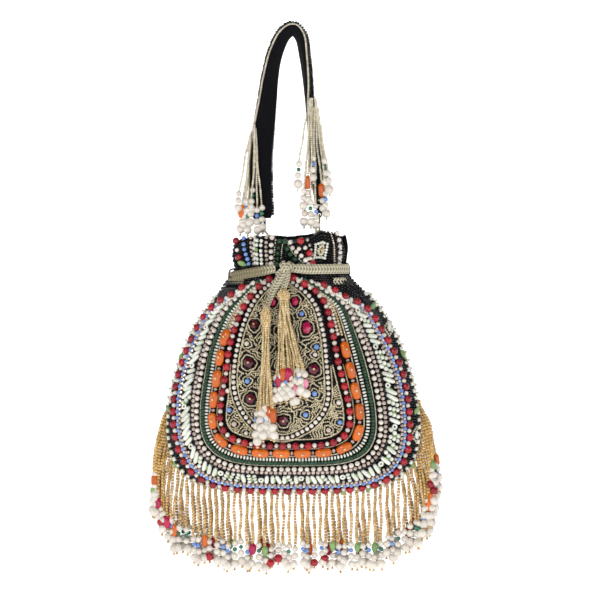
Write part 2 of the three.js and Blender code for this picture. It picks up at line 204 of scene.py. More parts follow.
VELVET = Finish("black_velvet", (0.007, 0.007, 0.009), (0.001, 0.001, 0.002), 0.95, 0, 0, 0.03, 0.8, specular=0.06)
CLOTH = Finish("black_cloth", (0.010, 0.009, 0.011), (0.002, 0.002, 0.003), 0.9, 0, 0, 0.0, 0.9, 1400,
               specular=0.06)
SATIN = Finish("green_satin", (0.006, 0.032, 0.022), (0.003, 0.014, 0.010), 0.45, 0, 0.05, 0.1, 0.3)
TAPE = Finish("black_tape", (0.014, 0.014, 0.016), (0.004, 0.004, 0.005), 0.8, 0, 0, 0.05, 0.9, 1800,
              specular=0.15)
BLACK = Finish("black_glass", (0.010, 0.010, 0.013), (0.002, 0.002, 0.003), 0.2, 0, 0.12, specular=0.35)
GOLD = Finish("gold_lined_glass", (0.80, 0.53, 0.19), (0.36, 0.20, 0.05), 0.26, 0.45, 0.5)
BRONZE = Finish("antique_gold_glass", (0.86, 0.78, 0.56), (0.34, 0.27, 0.14), 0.26, 0.45, 0.5)
SILVER = Finish("silver_lined_glass", (0.84, 0.79, 0.64), (0.44, 0.38, 0.26), 0.22, 0.45, 0.5)
CHAMPAGNE = Finish("champagne_glass", (0.86, 0.70, 0.42), (0.46, 0.32, 0.13), 0.24, 0.4, 0.5)
PEARL = Finish("pearl", (0.76, 0.71, 0.63), (0.56, 0.50, 0.43), 0.16, 0, 0.9, 0, 0, 900, 0.05, 0.6)
WHITE = Finish("cream_glass", (0.84, 0.85, 0.77), (0.55, 0.57, 0.48), 0.24, 0, 0.5)
RED = Finish("red_glass", (0.46, 0.006, 0.016), (0.17, 0.002, 0.008), 0.1, 0, 0.2, specular=0.4)
GARNET = Finish("garnet_glass", (0.13, 0.004, 0.018), (0.045, 0.002, 0.008), 0.08, 0, 0.25, specular=0.4)
ORANGE = Finish("orange_glass", (0.70, 0.15, 0.004), (0.42, 0.065, 0.002), 0.12, 0, 0.2, specular=0.4)
BLUE = Finish("blue_glass", (0.20, 0.36, 0.74), (0.10, 0.19, 0.50), 0.14, 0, 0.2)
GREEN = Finish("dark_green_glass", (0.018, 0.075, 0.032), (0.005, 0.024, 0.012), 0.24, 0, 0.1, specular=0.35)
EMERALD = Finish("emerald_glass", (0.01, 0.20, 0.09), (0.004, 0.09, 0.045), 0.1, 0, 0.7)
LEAF = Finish("leaf_green_glass", (0.26, 0.42, 0.12), (0.11, 0.22, 0.07), 0.25, 0, 0.4)
PINK = Finish("pink_glass", (0.56, 0.012, 0.085), (0.32, 0.006, 0.05), 0.12, 0, 0.2, specular=0.4)
ROSE = Finish("rose_glass", (0.86, 0.34, 0.46), (0.7, 0.2, 0.33), 0.16, 0, 0.5)
MAUVE = Finish("mauve_crystal", (0.66, 0.55, 0.48), (0.34, 0.24, 0.21), 0.12, 0.1, 0.6)
# The braid's dark tone is where its painted shade goes: the stitches' valleys and the cord's left part.
BRAID = Finish("metallic_braid", (0.90, 0.85, 0.66), (0.17, 0.14, 0.07), 0.36, 0.35, 0.1, 0, 0.6, 2200)
BRASS = Finish("dark_brass", (0.30, 0.24, 0.13), (0.12, 0.09, 0.05), 0.32, 0.9, 0.2)
ENAMEL = Finish("cream_lacquer", (0.78, 0.70, 0.55), (0.58, 0.50, 0.37), 0.25, 0.1, 0.5)
BACKDROP = Finish("pale_paper", (0.92, 0.92, 0.92), (0.90, 0.90, 0.90), 0.9, 0, 0)


# ---------------------------------------------------------------- bead shapes


class Bead(Enum):
    """The bead shapes that are strung or sewn, each of unit size (1 mm)."""

    SEED = "seed"
    ROUND = "round"
    CUT = "cut"
    LEAF = "leaf"
    BARREL = "barrel"
    RING = "ring"

    def source(self) -> bpy.types.Object:
        """Builds the shape once, in an object that the scene doesn't show.

        Returns:
            The hidden object that instances copy.
        """
        name = f"source_{self.value}"
        found = bpy.data.objects.get(name)
        if found:
            return found
        shape = bmesh.new()
        if self is Bead.SEED:
            bmesh.ops.create_uvsphere(shape, u_segments=6, v_segments=4, radius=0.5 * MM)
            for v in shape.verts:
                ring = 0.1 * MM < abs(v.co.z) < 0.45 * MM
                fuller, reach = (1.32, 1.18) if ring else (1.0, 0.94)
                v.co = (v.co.z * reach, v.co.x * fuller, v.co.y * fuller)
        elif self is Bead.ROUND:
            bmesh.ops.create_icosphere(shape, subdivisions=2, radius=0.5 * MM)
        elif self is Bead.CUT:
            bmesh.ops.create_icosphere(shape, subdivisions=1, radius=0.5 * MM)
        elif self is Bead.LEAF:
            bmesh.ops.create_uvsphere(shape, u_segments=8, v_segments=6, radius=0.5 * MM)
            for v in shape.verts:
                along = v.co.z / (0.5 * MM)
                taper = (1 - 0.55 * max(along, 0) ** 1.5)
                v.co = (v.co.z, v.co.x * taper, v.co.y * taper)
        elif self is Bead.BARREL:
            bmesh.ops.create_uvsphere(shape, u_segments=10, v_segments=8, radius=0.5 * MM)
            for v in shape.verts:
                x, y, z = (c / (0.5 * MM) for c in v.co)
                fuller = max(1 - abs(z) ** 5, 0.0) ** 0.5 / max(max(1 - z * z, 0.0) ** 0.5, 0.2)
                v.co = (z * 0.5 * MM, x * 0.5 * MM * fuller, y * 0.5 * MM * fuller)
        else:
            rim = [(0.32 + 0.17 * math.cos(a), 0.3 * math.sin(a)) for a in np.linspace(0, 2 * math.pi, 6, False)]
            loops = [[shape.verts.new((r * math.cos(t) * MM, r * math.sin(t) * MM, h * MM)) for r, h in rim]
                     for t in np.linspace(0, 2 * math.pi, 10, False)]
            for one, two in zip(loops, loops[1:] + loops[:1]):
                for k in range(6):
                    shape.faces.new((one[k], two[k], two[k - 5], one[k - 5]))
        for face in shape.faces:
            face.smooth = self is not Bead.CUT
        mesh = bpy.data.meshes.new(name)
        shape.to_mesh(mesh)
        shape.free()
        return bpy.data.objects.new(name, mesh)


# ---------------------------------------------------------------- geometry node trees


class Tree:
    """A geometry node tree under construction."""

    def __init__(self, name: str) -> None:
        """Starts an empty tree with a geometry input and output.

        Args:
            name: The node group's name.
        """
        self.group = bpy.data.node_groups.new(name, "GeometryNodeTree")
        self.socket("Geometry", "NodeSocketGeometry")
        self.group.interface.new_socket("Geometry", in_out="OUTPUT", socket_type="NodeSocketGeometry")
        self.start = self.group.nodes.new("NodeGroupInput")
        self.end = self.group.nodes.new("NodeGroupOutput")

    def socket(self, name: str, kind: str) -> None:
        """Adds a named input."""
        self.group.interface.new_socket(name, in_out="INPUT", socket_type=kind)

    def node(self, kind: str, links: dict | None = None, **settings: object) -> bpy.types.Node:
        """Adds a node.

        Args:
            kind: The node's type.
            links: Input name or index to an output socket or a constant.
            settings: Properties of the node.

        Returns:
            The node.
        """
        node = self.group.nodes.new(kind)
        for key, value in settings.items():
            setattr(node, key, value)
        for key, value in (links or {}).items():
            if isinstance(value, bpy.types.NodeSocket):
                self.group.links.new(value, node.inputs[key])
            else:
                node.inputs[key].default_value = value
        return node

    def named(self, name: str, kind: str) -> bpy.types.NodeSocket:
        """The field of a named attribute.

        Args:
            name: The attribute's name.
            kind: Its data type.

        Returns:
            The output socket that carries it.
        """
        node = self.node("GeometryNodeInputNamedAttribute", data_type=kind)
        node.inputs["Name"].default_value = name
        return next(s for s in node.outputs if s.enabled)


def finish_tree(tree: Tree, instances: bpy.types.NodeSocket) -> bpy.types.NodeTree:
    """Ends a tree: real geometry, then its material.

    Args:
        tree: The tree to end.
        instances: The socket that carries its instances.

    Returns:
        The finished node group.
    """
    real = tree.node("GeometryNodeRealizeInstances", {"Geometry": instances})
    dressed = tree.node("GeometryNodeSetMaterial", {
        "Geometry": real.outputs["Geometry"], "Material": tree.start.outputs["Material"]})
    tree.group.links.new(dressed.outputs["Geometry"], tree.end.inputs["Geometry"])
    return tree.group


def bead_row_tree() -> bpy.types.NodeTree:
    """Beads threaded at an even pitch along paths, seated on a surface if one is given.

    Returns:
        The node group, built on first use.
    """
    found = bpy.data.node_groups.get("bead_row")
    if found:
        return found
    tree = Tree("bead_row")
    for name, kind in (("Surface", "NodeSocketObject"), ("Bead", "NodeSocketObject"),
                       ("Material", "NodeSocketMaterial"), ("Pitch", "NodeSocketFloat"),
                       ("Every", "NodeSocketInt"), ("Phase", "NodeSocketInt"), ("Lift", "NodeSocketFloat"),
                       ("Size", "NodeSocketVector"), ("Jitter", "NodeSocketFloat"), ("Seed", "NodeSocketInt")):
        tree.socket(name, kind)
    given = tree.start.outputs
    curve = tree.node("GeometryNodeMeshToCurve", {"Mesh": given["Geometry"]})
    even = tree.node("GeometryNodeResampleCurve", {"Curve": curve.outputs["Curve"], "Length": given["Pitch"]},
                     mode="LENGTH")
    ground = tree.node("GeometryNodeObjectInfo", {"Object": given["Surface"]}, transform_space="RELATIVE")
    normal = tree.node("GeometryNodeInputNormal")
    sample = tree.node("GeometryNodeSampleNearestSurface", {
        "Mesh": ground.outputs["Geometry"], "Value": normal.outputs["Normal"]}, data_type="FLOAT_VECTOR")
    up = next(s for s in sample.outputs if s.enabled)
    tangent = tree.node("GeometryNodeInputTangent")
    turn = tree.node("FunctionNodeAlignRotationToVector", {"Vector": tangent.outputs["Tangent"]}, axis="X")
    seat = tree.node("FunctionNodeAlignRotationToVector", {"Rotation": turn.outputs["Rotation"], "Vector": up},
                     axis="Z", pivot_axis="X")
    lift = tree.node("ShaderNodeVectorMath", {0: up, "Scale": given["Lift"]}, operation="SCALE")
    moved = tree.node("GeometryNodeSetPosition", {
        "Geometry": even.outputs["Curve"], "Offset": lift.outputs["Vector"]})
    tone = tree.node("FunctionNodeRandomValue", {"Seed": given["Seed"]}, data_type="FLOAT")
    toned = tree.node("GeometryNodeStoreNamedAttribute", {
        "Geometry": moved.outputs["Geometry"], "Name": "tone", "Value": tone.outputs[1]},
        data_type="FLOAT", domain="POINT")
    index = tree.node("GeometryNodeInputIndex")
    rest = tree.node("ShaderNodeMath", {0: index.outputs[0], 1: given["Every"]}, operation="FLOORED_MODULO")
    picked = tree.node("FunctionNodeCompare", {0: rest.outputs[0], 1: given["Phase"]}, operation="EQUAL")
    picked.inputs["Epsilon"].default_value = 0.2
    low = tree.node("ShaderNodeMath", {0: 1.0, 1: given["Jitter"]}, operation="SUBTRACT")
    high = tree.node("ShaderNodeMath", {0: 1.0, 1: given["Jitter"]}, operation="ADD")
    vary = tree.node("FunctionNodeRandomValue", {2: low.outputs[0], 3: high.outputs[0]}, data_type="FLOAT")
    vary.inputs["Seed"].default_value = 7
    size = tree.node("ShaderNodeVectorMath", {0: given["Size"], "Scale": vary.outputs[1]}, operation="SCALE")
    shape = tree.node("GeometryNodeObjectInfo", {"Object": given["Bead"]})
    beads = tree.node("GeometryNodeInstanceOnPoints", {
        "Points": toned.outputs["Geometry"], "Selection": picked.outputs[0],
        "Instance": shape.outputs["Geometry"], "Rotation": seat.outputs["Rotation"],
        "Scale": size.outputs["Vector"]})
    return finish_tree(tree, beads.outputs["Instances"])


def bead_place_tree() -> bpy.types.NodeTree:
    """Single beads at marked points, each with its own turn, size and tone.

    Returns:
        The node group, built on first use.
    """
    found = bpy.data.node_groups.get("bead_place")
    if found:
        return found
    tree = Tree("bead_place")
    for name, kind in (("Surface", "NodeSocketObject"), ("Bead", "NodeSocketObject"),
                       ("Material", "NodeSocketMaterial"), ("Lift", "NodeSocketFloat")):
        tree.socket(name, kind)
    given = tree.start.outputs
    points = tree.node("GeometryNodeMeshToPoints", {"Mesh": given["Geometry"]})
    ground = tree.node("GeometryNodeObjectInfo", {"Object": given["Surface"]}, transform_space="RELATIVE")
    normal = tree.node("GeometryNodeInputNormal")
    sample = tree.node("GeometryNodeSampleNearestSurface", {
        "Mesh": ground.outputs["Geometry"], "Value": normal.outputs["Normal"]}, data_type="FLOAT_VECTOR")
    up = next(s for s in sample.outputs if s.enabled)
    turn = tree.node("FunctionNodeAlignRotationToVector",
                     {"Vector": tree.named("along", "FLOAT_VECTOR")}, axis="X")
    seat = tree.node("FunctionNodeAlignRotationToVector", {"Rotation": turn.outputs["Rotation"], "Vector": up},
                     axis="Z", pivot_axis="X")
    lift = tree.node("ShaderNodeVectorMath", {0: up, "Scale": given["Lift"]}, operation="SCALE")
    moved = tree.node("GeometryNodeSetPosition", {
        "Geometry": points.outputs["Points"], "Offset": lift.outputs["Vector"]})
    shape = tree.node("GeometryNodeObjectInfo", {"Object": given["Bead"]})
    beads = tree.node("GeometryNodeInstanceOnPoints", {
        "Points": moved.outputs["Geometry"], "Instance": shape.outputs["Geometry"],
        "Rotation": seat.outputs["Rotation"], "Scale": tree.named("size", "FLOAT_VECTOR")})
    return finish_tree(tree, beads.outputs["Instances"])


def run_tree(guide: bpy.types.Mesh, tree: bpy.types.NodeTree, inputs: dict[str, object]) -> bpy.types.Mesh:
    """Runs a tree on a guide mesh.

    Args:
        guide: The paths or points that the tree follows.
        tree: The tree.
        inputs: Its named inputs.

    Returns:
        A plain mesh of the result.
    """
    host = bpy.data.objects.new("guide", guide)
    bpy.context.scene.collection.objects.link(host)
    modifier = host.modifiers.new("beads", "NODES")
    modifier.node_group = tree
    for item in tree.interface.items_tree:
        if item.in_out == "INPUT" and item.name in inputs:
            modifier[item.identifier] = inputs[item.name]
    graph = bpy.context.evaluated_depsgraph_get()
    mesh = bpy.data.meshes.new_from_object(host.evaluated_get(graph), depsgraph=graph)
    bpy.data.objects.remove(host)
    bpy.data.meshes.remove(guide)
    return mesh


# ---------------------------------------------------------------- pieces


def new_mesh(name: str, points: Iterable[Sequence[float]], faces: Sequence[Sequence[int]],
             edges: Sequence[Sequence[int]] = ()) -> bpy.types.Mesh:
    """A mesh from points in millimetres.

    Args:
        name: The mesh's name.
        points: Its points, in millimetres.
        faces: Point numbers of each face.
        edges: Point numbers of each loose edge.

    Returns:
        The mesh, in metres.
    """
    mesh = bpy.data.meshes.new(name)
    mesh.from_pydata([tuple(float(c) * MM for c in p) for p in points], list(edges), list(faces))
    mesh.validate()
    for polygon in mesh.polygons:
        polygon.use_smooth = True
    return mesh


@dataclass
class Piece:
    """One visible piece: meshes joined into one object on one body.

    With hang, it is put on no body: its transform is baked into its mesh instead. Hang holds two heights in metres.
    """

    name: str
    body: str
    meshes: list[bpy.types.Mesh] = field(default_factory=list)
    hang: tuple[float, float] | None = None
    holder: str = "pouch"

    def add(self, *meshes: bpy.types.Mesh) -> "Piece":
        """Adds meshes to the piece."""
        self.meshes += [m for m in meshes if len(m.vertices)]
        return self

    def make(self, slot: str, *replaced: str) -> bpy.types.Object:
        """Joins the meshes, and puts the piece on its body, or with hang bakes its transform instead.

        Args:
            slot: The record's material slot; not used.
            replaced: The frame nodes that it stands for.

        Returns:
            The piece's object.
        """
        parts = []
        for mesh in self.meshes:
            part = bpy.data.objects.new(self.name, mesh)
            bpy.context.scene.collection.objects.link(part)
            parts.append(part)
        whole = parts[0]
        if len(parts) > 1:
            with bpy.context.temp_override(active_object=whole, selected_editable_objects=parts,
                                           selected_objects=parts, object=whole):
                bpy.ops.object.join()
        whole.name = self.name
        if self.hang:
            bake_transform(whole)
        else:
            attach(whole, self.body)
        if replaced:
            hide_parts(*replaced)
        triangles = sum(len(p.vertices) - 2 for p in whole.data.polygons)
        LOG.info("%-28s %-20s %7d triangles", self.name, self.body, triangles)
        return whole


def bead_rows(paths: Sequence[np.ndarray], finish: Finish, pitch: float, size: Sequence[float],
              bead: Bead = Bead.SEED, surface: bpy.types.Object | None = None, lift: float | None = None,
              every: int = 1, phase: int = 0, jitter: float = 0.06, seed: int = 1) -> bpy.types.Mesh:
    """Beads along paths.

    Args:
        paths: Paths in millimetres.
        finish: The beads' finish.
        pitch: Distance between bead positions, in millimetres.
        size: A bead's length, width and height in millimetres.
        bead: Its shape.
        surface: What the beads are sewn to, if anything.
        lift: How far the bead's middle is above the path; half its height unless given.
        every: Only each so many positions take a bead.
        phase: Which of those positions.
        jitter: How much single beads vary in size.
        seed: The seed of the tones.

    Returns:
        The beads' mesh.
    """
    points, edges = [], []
    for path in paths:
        if len(path) < 2:
            continue
        first = len(points)
        points.extend(path)
        edges.extend((i, i + 1) for i in range(first, len(points) - 1))
    guide = new_mesh("rows", points, [], edges)
    rise = size[2] / 2 if lift is None else lift
    return run_tree(guide, bead_row_tree(), {
        "Surface": surface, "Bead": bead.source(), "Material": finish.material(), "Pitch": pitch * MM,
        "Every": every, "Phase": phase, "Lift": rise * MM if surface else 0.0,
        "Size": tuple(float(s) for s in size), "Jitter": jitter, "Seed": seed})


@dataclass
class Spot:
    """One bead at a place: its middle, direction and size in millimetres."""

    at: Sequence[float]
    along: Sequence[float]
    size: Sequence[float]


def bead_spots(spots: Sequence[Spot], finish: Finish, bead: Bead, surface: bpy.types.Object | None = None,
               lift: float = 0.0) -> bpy.types.Mesh:
    """Single beads at places, all of one shape and finish.

    Args:
        spots: Where each bead is, how it lies and its size.
        finish: The beads' finish.
        bead: Their shape.
        surface: What they are seated on, if anything.
        lift: How far they stand off it, in millimetres.

    Returns:
        A plain mesh of all the beads.
    """
    guide = new_mesh("spots", [s.at for s in spots], [])
    for name, kind, values in (("along", "FLOAT_VECTOR", [s.along for s in spots]),
                               ("size", "FLOAT_VECTOR", [s.size for s in spots])):
        layer = guide.attributes.new(name, kind, "POINT")
        layer.data.foreach_set("vector", np.asarray(values, float).ravel())
    tones = guide.attributes.new("tone", "FLOAT", "POINT")
    tones.data.foreach_set("value", np.array([noise(i, len(spots)) for i in range(len(spots))], float))
    return run_tree(guide, bead_place_tree(), {
        "Surface": surface, "Bead": bead.source(), "Material": finish.material(), "Lift": lift * MM})


def dressed(mesh: bpy.types.Mesh, finish: Finish) -> bpy.types.Mesh:
    """A mesh with a finish.

    Args:
        mesh: The mesh to dress.
        finish: The finish for all its faces.

    Returns:
        The same mesh.
    """
    mesh.materials.clear()
    mesh.materials.append(finish.material())
    return mesh


def grid_mesh(name: str, rows: Sequence[Sequence[Sequence[float]]], wrap: bool) -> bpy.types.Mesh:
    """A quad mesh over rows of points, each row closed on itself if wrap is set.

    Args:
        name: The mesh's name.
        rows: Rows of points in millimetres, all of one length.
        wrap: Whether each row closes on itself.

    Returns:
        The mesh.
    """
    points = [p for row in rows for p in row]
    n = len(rows[0])
    faces = []
    for r in range(len(rows) - 1):
        for c in range(n if wrap else n - 1):
            d = (c + 1) % n
            faces.append((r * n + c, r * n + d, (r + 1) * n + d, (r + 1) * n + c))
    return new_mesh(name, points, faces)


def outwards(mesh: bpy.types.Mesh, weld: float = 1e-6) -> bpy.types.Mesh:
    """Welds doubles and points every face outwards.

    Args:
        mesh: The mesh to mend.
        weld: How near two points are to count as one, in metres.

    Returns:
        The same mesh.
    """
    shape = bmesh.new()
    shape.from_mesh(mesh)
    bmesh.ops.remove_doubles(shape, verts=list(shape.verts), dist=weld)
    bmesh.ops.holes_fill(shape, edges=[e for e in shape.edges if e.is_boundary], sides=0)
    bmesh.ops.recalc_face_normals(shape, faces=list(shape.faces))
    shape.to_mesh(mesh)
    shape.free()
    return mesh


# ---------------------------------------------------------------- the pouch's shape


@dataclass
class PouchShape:
    """The pouch's form: width and depth against height, with gathered folds at the neck."""

    sections: tuple = (
        (0, 0, -363), (32, 5, -362.2), (62, 11, -359.6), (82, 19, -353), (94, 28, -340),
        (99.4, 35.5, -322), (99.6, 39, -304), (94.5, 40, -279), (86.5, 37.5, -253), (76, 33.5, -231),
        (62, 28.5, -211), (49, 24, -198), (41.5, 21, -188), (41, 21, -180), (42, 22, -170),
        (40.5, 22.5, -161))
    neck_z: float = -188.0
    rim_z: float = -161.0
    fold_depth: float = 3.2
    fold_start: float = -226.0
    front_rim: tuple = (
        (-1, -6), (-0.82, -1), (-0.65, 0), (-0.35, -0.5), (-0.2, -3.5), (0.1, -5), (0.35, -2), (0.62, 4.6),
        (0.84, 2.4), (1, -5))
    back_rim: tuple = ((-1, -3), (-0.4, 1.5), (0, 0.5), (0.5, 3), (1, 1))

    def __post_init__(self) -> None:
        """Samples the profile finely once."""
        self.profile = catmull(self.sections, 40)
        self.profile[:, 2] = np.maximum.accumulate(self.profile[:, 2])

    def widths(self, z: float) -> tuple[float, float]:
        """Half width and half depth at a height."""
        p = self.profile
        return float(np.interp(z, p[:, 2], p[:, 0])), float(np.interp(z, p[:, 2], p[:, 1]))

    def bottom(self, x: float) -> float:
        """The outline's lowest height at a distance from the middle."""
        p = self.profile[self.profile[:, 2] < -300]
        return float(np.interp(abs(x), p[:, 0], p[:, 2]))

    def fold(self, angle: float, z: float) -> float:
        """How far a gathered fold stands out at an angle and height.

        Args:
            angle: The angle round the pouch, from its right side.
            z: The height in millimetres.

        Returns:
            The distance in millimetres.
        """
        rise = smoothstep(z, self.fold_start, self.neck_z + 4) * self.fold_depth
        wave = math.cos(9 * angle + 0.6) + 0.4 * math.cos(17 * angle + 1.7) + 0.25 * math.cos(5 * angle)
        tuck = 1 - 0.35 * math.exp(-((z - self.neck_z) / 5.0) ** 2)
        return rise * tuck * wave * 0.75

    def point(self, angle: float, z: float, inset: float = 0.0) -> np.ndarray:
        """A point of the wall.

        Args:
            angle: Radians from the right seam round the front.
            z: Height in millimetres.
            inset: Distance inside the outer face.

        Returns:
            The point.
        """
        a, b = self.widths(z)
        a, b = max(a - inset, 0.0), max(b - inset, 0.0)
        fold = self.fold(angle, z)
        side = math.cos(angle)
        bulge = max(1 - abs(side) ** 2.2, 0.0) ** 0.6
        sign = -1.0 if math.sin(angle) >= 0 else 1.0
        rim = self.front_rim if sign < 0 else self.back_rim
        rise = float(np.interp(side, [r[0] for r in rim], [r[1] for r in rim]))
        rise *= smoothstep(z, self.neck_z, self.rim_z)
        neck = smoothstep(z, -214, -195)
        x = side * (a + fold * min(a / 40, 1)) * (1 + 0.04 * neck) - 3.2 * neck
        return np.array([x, sign * bulge * (b + fold), z + rise])

    def front(self, x: float, z: float, back: bool = False) -> np.ndarray:
        """The wall's point seen straight on at x and z.

        Args:
            x: The place across.
            z: The height.
            back: Whether it is on the back wall.

        Returns:
            The point on the wall.
        """
        z = max(z, self.bottom(x) + 0.8)
        a, _ = self.widths(z)
        neck = smoothstep(z, -214, -195)
        share = min(max((x + 3.2 * neck) / max(a * (1 + 0.04 * neck), 1e-3), -0.995), 0.995)
        angle = math.acos(share)
        return self.point(-angle if back else angle, z)

    def sew(self, flat: Iterable[Point2], back: bool = False) -> np.ndarray:
        """Lays a flat path of x and z onto the wall."""
        return np.array([self.front(x, z, back) for x, z in flat])


SHAPE = PouchShape()


@dataclass
class Panel:
    """One cloth panel of the pouch, from its bottom seam to the rim.

    Its cut, in metres, is the outline's half girth at the widest by the length of its middle line.
    """

    name: str
    back: bool
    across: int = 100
    up: int = 84
    thick: float = 1.6
    cut: tuple[float, float] = (0.228, 0.221)
    cut_area: float = 0.0380

    def skin(self) -> bpy.types.Object:
        """Builds the panel as a closed cloth shell with its gathered folds.

        Returns:
            The cloth's object.
        """
        heights = [-362.7 + (SHAPE.rim_z + 362.7) * (r / self.up) ** 1.25 for r in range(self.up + 1)]
        outer = [[self._place(c, z, 0.6) for c in range(self.across + 1)] for z in heights]
        inner = [[self._place(c, z, 0.6 + self.thick) for c in range(self.across + 1)] for z in heights]
        loops = [list(row) + list(reversed(inside)) for row, inside in zip(outer, inner)]
        mesh = grid_mesh(self.name, loops, True)
        self._close_ends(mesh, len(loops[0]), len(loops))
        outwards(mesh)
        slot = "back_beadwork" if self.back else "front_beadwork"
        cloth = Piece(f"{self.name}_cloth", "pouch").add(dressed(mesh, CLOTH)).make(slot, self.name)
        return cloth

    def _place(self, column: int, z: float, inset: float) -> np.ndarray:
        """The shell's point at a column and height.

        Args:
            column: The column, from one side seam to the other.
            z: The height.
            inset: How far inside the wall.

        Returns:
            The point in millimetres.
        """
        angle = 0.012 + (math.pi - 0.024) * column / self.across
        point = SHAPE.point(-angle if self.back else angle, z, inset)
        point[1] += 0.2 if self.back else -0.2
        return point

    @staticmethod
    def _close_ends(mesh: bpy.types.Mesh, around: int, rows: int) -> None:
        """Closes the strip between the outer and inner skin at both ends.

        Args:
            mesh: The shell.
            around: How many points each of its rows has.
            rows: How many rows it has.
        """
        shape = bmesh.new()
        shape.from_mesh(mesh)
        shape.verts.ensure_lookup_table()
        for row in (0, rows - 1):
            base = row * around
            for c in range(around // 2 - 1):
                corners = [base + c, base + c + 1, base + around - 2 - c, base + around - 1 - c]
                shape.faces.new([shape.verts[i] for i in corners]).smooth = True
        shape.to_mesh(mesh)
        shape.free()


# ---------------------------------------------------------------- embroidery


def halves(path: Sequence[Point2], corner: int, count: int = 60) -> np.ndarray:
    """Resamples half an arch in two stretches, down to its corner and on to its middle.

    Args:
        path: The half arch as x and z, from its top.
        corner: The number of its corner point.
        count: Points on the side; the base has half as many.

    Returns:
        The evenly spaced points.
    """
    flat = np.array(path, float)
    smooth = catmull([(x, 0.0, z) for x, z in flat], 8)
    cut = corner * 8
    side, base = resample(smooth[:cut + 1], count), resample(smooth[cut:], count // 2)
    return np.vstack([side, base[1:]])


def sideways(path: np.ndarray, distance: float) -> np.ndarray:
    """A flat path moved to its left by a distance."""
    step = np.gradient(path, axis=0)
    return path + np.column_stack([-step[:, 1], step[:, 0]]) / np.linalg.norm(step, axis=1)[:, None] * distance


@dataclass
class Arches:
    """The nested arches of the front's pattern, spread between two measured ones.

    Each half runs from the arch's top down the side, round its corner, to the middle of the bottom.
    """

    inner_left: tuple = (
        (-17.5, -194), (-24.5, -199), (-30.5, -206.3), (-36.7, -214.9), (-41.8, -223.6), (-45.1, -232.8),
        (-48.4, -243.1), (-50.8, -254.7), (-52.1, -266.7), (-54, -276.6), (-55.7, -286.6), (-57, -297),
        (-57.4, -306), (-54.5, -314.6), (-48.2, -319.8), (-39.1, -323), (-29.2, -325), (-18, -325.6),
        (-6.4, -325.7))
    inner_right: tuple = (
        (-1, -193), (5.3, -197), (11.3, -201.7), (19.3, -207.6), (25.4, -216.3), (28.3, -226.9), (30.5, -237.5),
        (32.5, -248.1), (34.5, -259), (37.2, -269.3), (39.8, -279.7), (42.5, -289.5), (44, -299.5),
        (43.8, -309.8), (39.8, -318), (31.2, -323), (21.2, -325), (8, -325.6), (-6.4, -325.7))
    outer_left: tuple = (
        (-41, -202.5), (-48.7, -208.3), (-57, -213.6), (-65, -220.2), (-71.6, -228.5), (-76.4, -237.5),
        (-80.6, -246.8), (-84.3, -255.4), (-87.6, -264.7), (-90.2, -274.6), (-92.4, -284), (-93.8, -301.8),
        (-92.4, -319), (-87.5, -335.5), (-79.5, -347.6), (-63.6, -356.8), (-43.7, -360), (-24, -361),
        (-2, -361.2))
    outer_right: tuple = (
        (21, -199.5), (29.2, -203), (37.8, -208.3), (46.5, -212.3), (55.1, -217.2), (62.4, -225.5), (67.9, -234.8),
        (72.8, -243.5), (77.6, -252.1), (82, -261.4), (85.3, -271), (88.9, -289.9), (90.6, -308),
        (90, -327), (85.5, -341), (77, -351), (58, -358.4), (30, -360.9), (-2, -361.2))
    pearl_left: tuple = (
        (-13, -195), (-20, -200), (-27, -207.5), (-32.8, -216.5), (-37.8, -227), (-42, -241), (-45, -254.7),
        (-46.6, -268), (-46.6, -280), (-43.6, -292), (-38.6, -301.5), (-30.5, -311), (-21, -317), (-9.6, -319.8))
    pearl_right: tuple = (
        (-4, -194), (1.6, -198.6), (9.6, -205.6), (17.4, -216.3), (22.2, -232.2), (24.6, -245.4), (25.9, -261.4),
        (27.2, -277.3), (27, -290.5), (22.6, -301.2), (13.8, -310.4), (4, -316), (-3, -319), (-9.6, -319.8))

    def __post_init__(self) -> None:
        """Resamples the measured arches alike, so that rows can be spread between them."""
        self.inner = self._whole(halves(self.inner_left, 13), halves(self.inner_right, 13))
        self.outer = self._whole(halves(self.outer_left, 13), halves(self.outer_right, 13))
        self.pearls = self._whole(halves(self.pearl_left, 9), halves(self.pearl_right, 9))

    @staticmethod
    def _whole(left: np.ndarray, right: np.ndarray) -> np.ndarray:
        """One arch from its left top to its right top, as x and z.

        Args:
            left: The left half, from its top.
            right: The right half, from its top.

        Returns:
            The smoothed arch.
        """
        both = np.vstack([left, right[::-1][1:]])
        for _ in range(3):
            both[1:-1] = (both[:-2] + 2 * both[1:-1] + both[2:]) / 4
        return both[:, (0, 2)]

    def flat(self, share: float, top: float = -194.0) -> np.ndarray:
        """The arch at a share of the way from the inner to the outer red beads, below a height."""
        path = self.inner + (self.outer - self.inner) * share
        return path[path[:, 1] < top]

    def path(self, share: float, top: float = -194.0) -> np.ndarray:
        """That arch laid on the wall."""
        return SHAPE.sew(self.flat(share, top))

    def inside(self, distance: float) -> np.ndarray:
        """The pearl arch moved inwards by a distance, as x and z."""
        return sideways(self.pearls, distance)


ARCHES = Arches()


def within(x: float, z: float, outline: np.ndarray) -> bool:
    """Whether a flat point is inside a closed outline.

    Args:
        x: The place across.
        z: The height.
        outline: The outline's points as x and z.

    Returns:
        True if it is inside.
    """
    crossed = False
    for (x0, z0), (x1, z1) in zip(outline, np.roll(outline, -1, axis=0)):
        if (z0 > z) != (z1 > z) and x < (x1 - x0) * (z - z0) / (z1 - z0) + x0:
            crossed = not crossed
    return crossed


@dataclass(frozen=True)
class Stone:
    """A stone of the centre's filigree: place, finish and size in millimetres."""

    x: float
    z: float
    finish: Finish
    wide: float
    tall: float


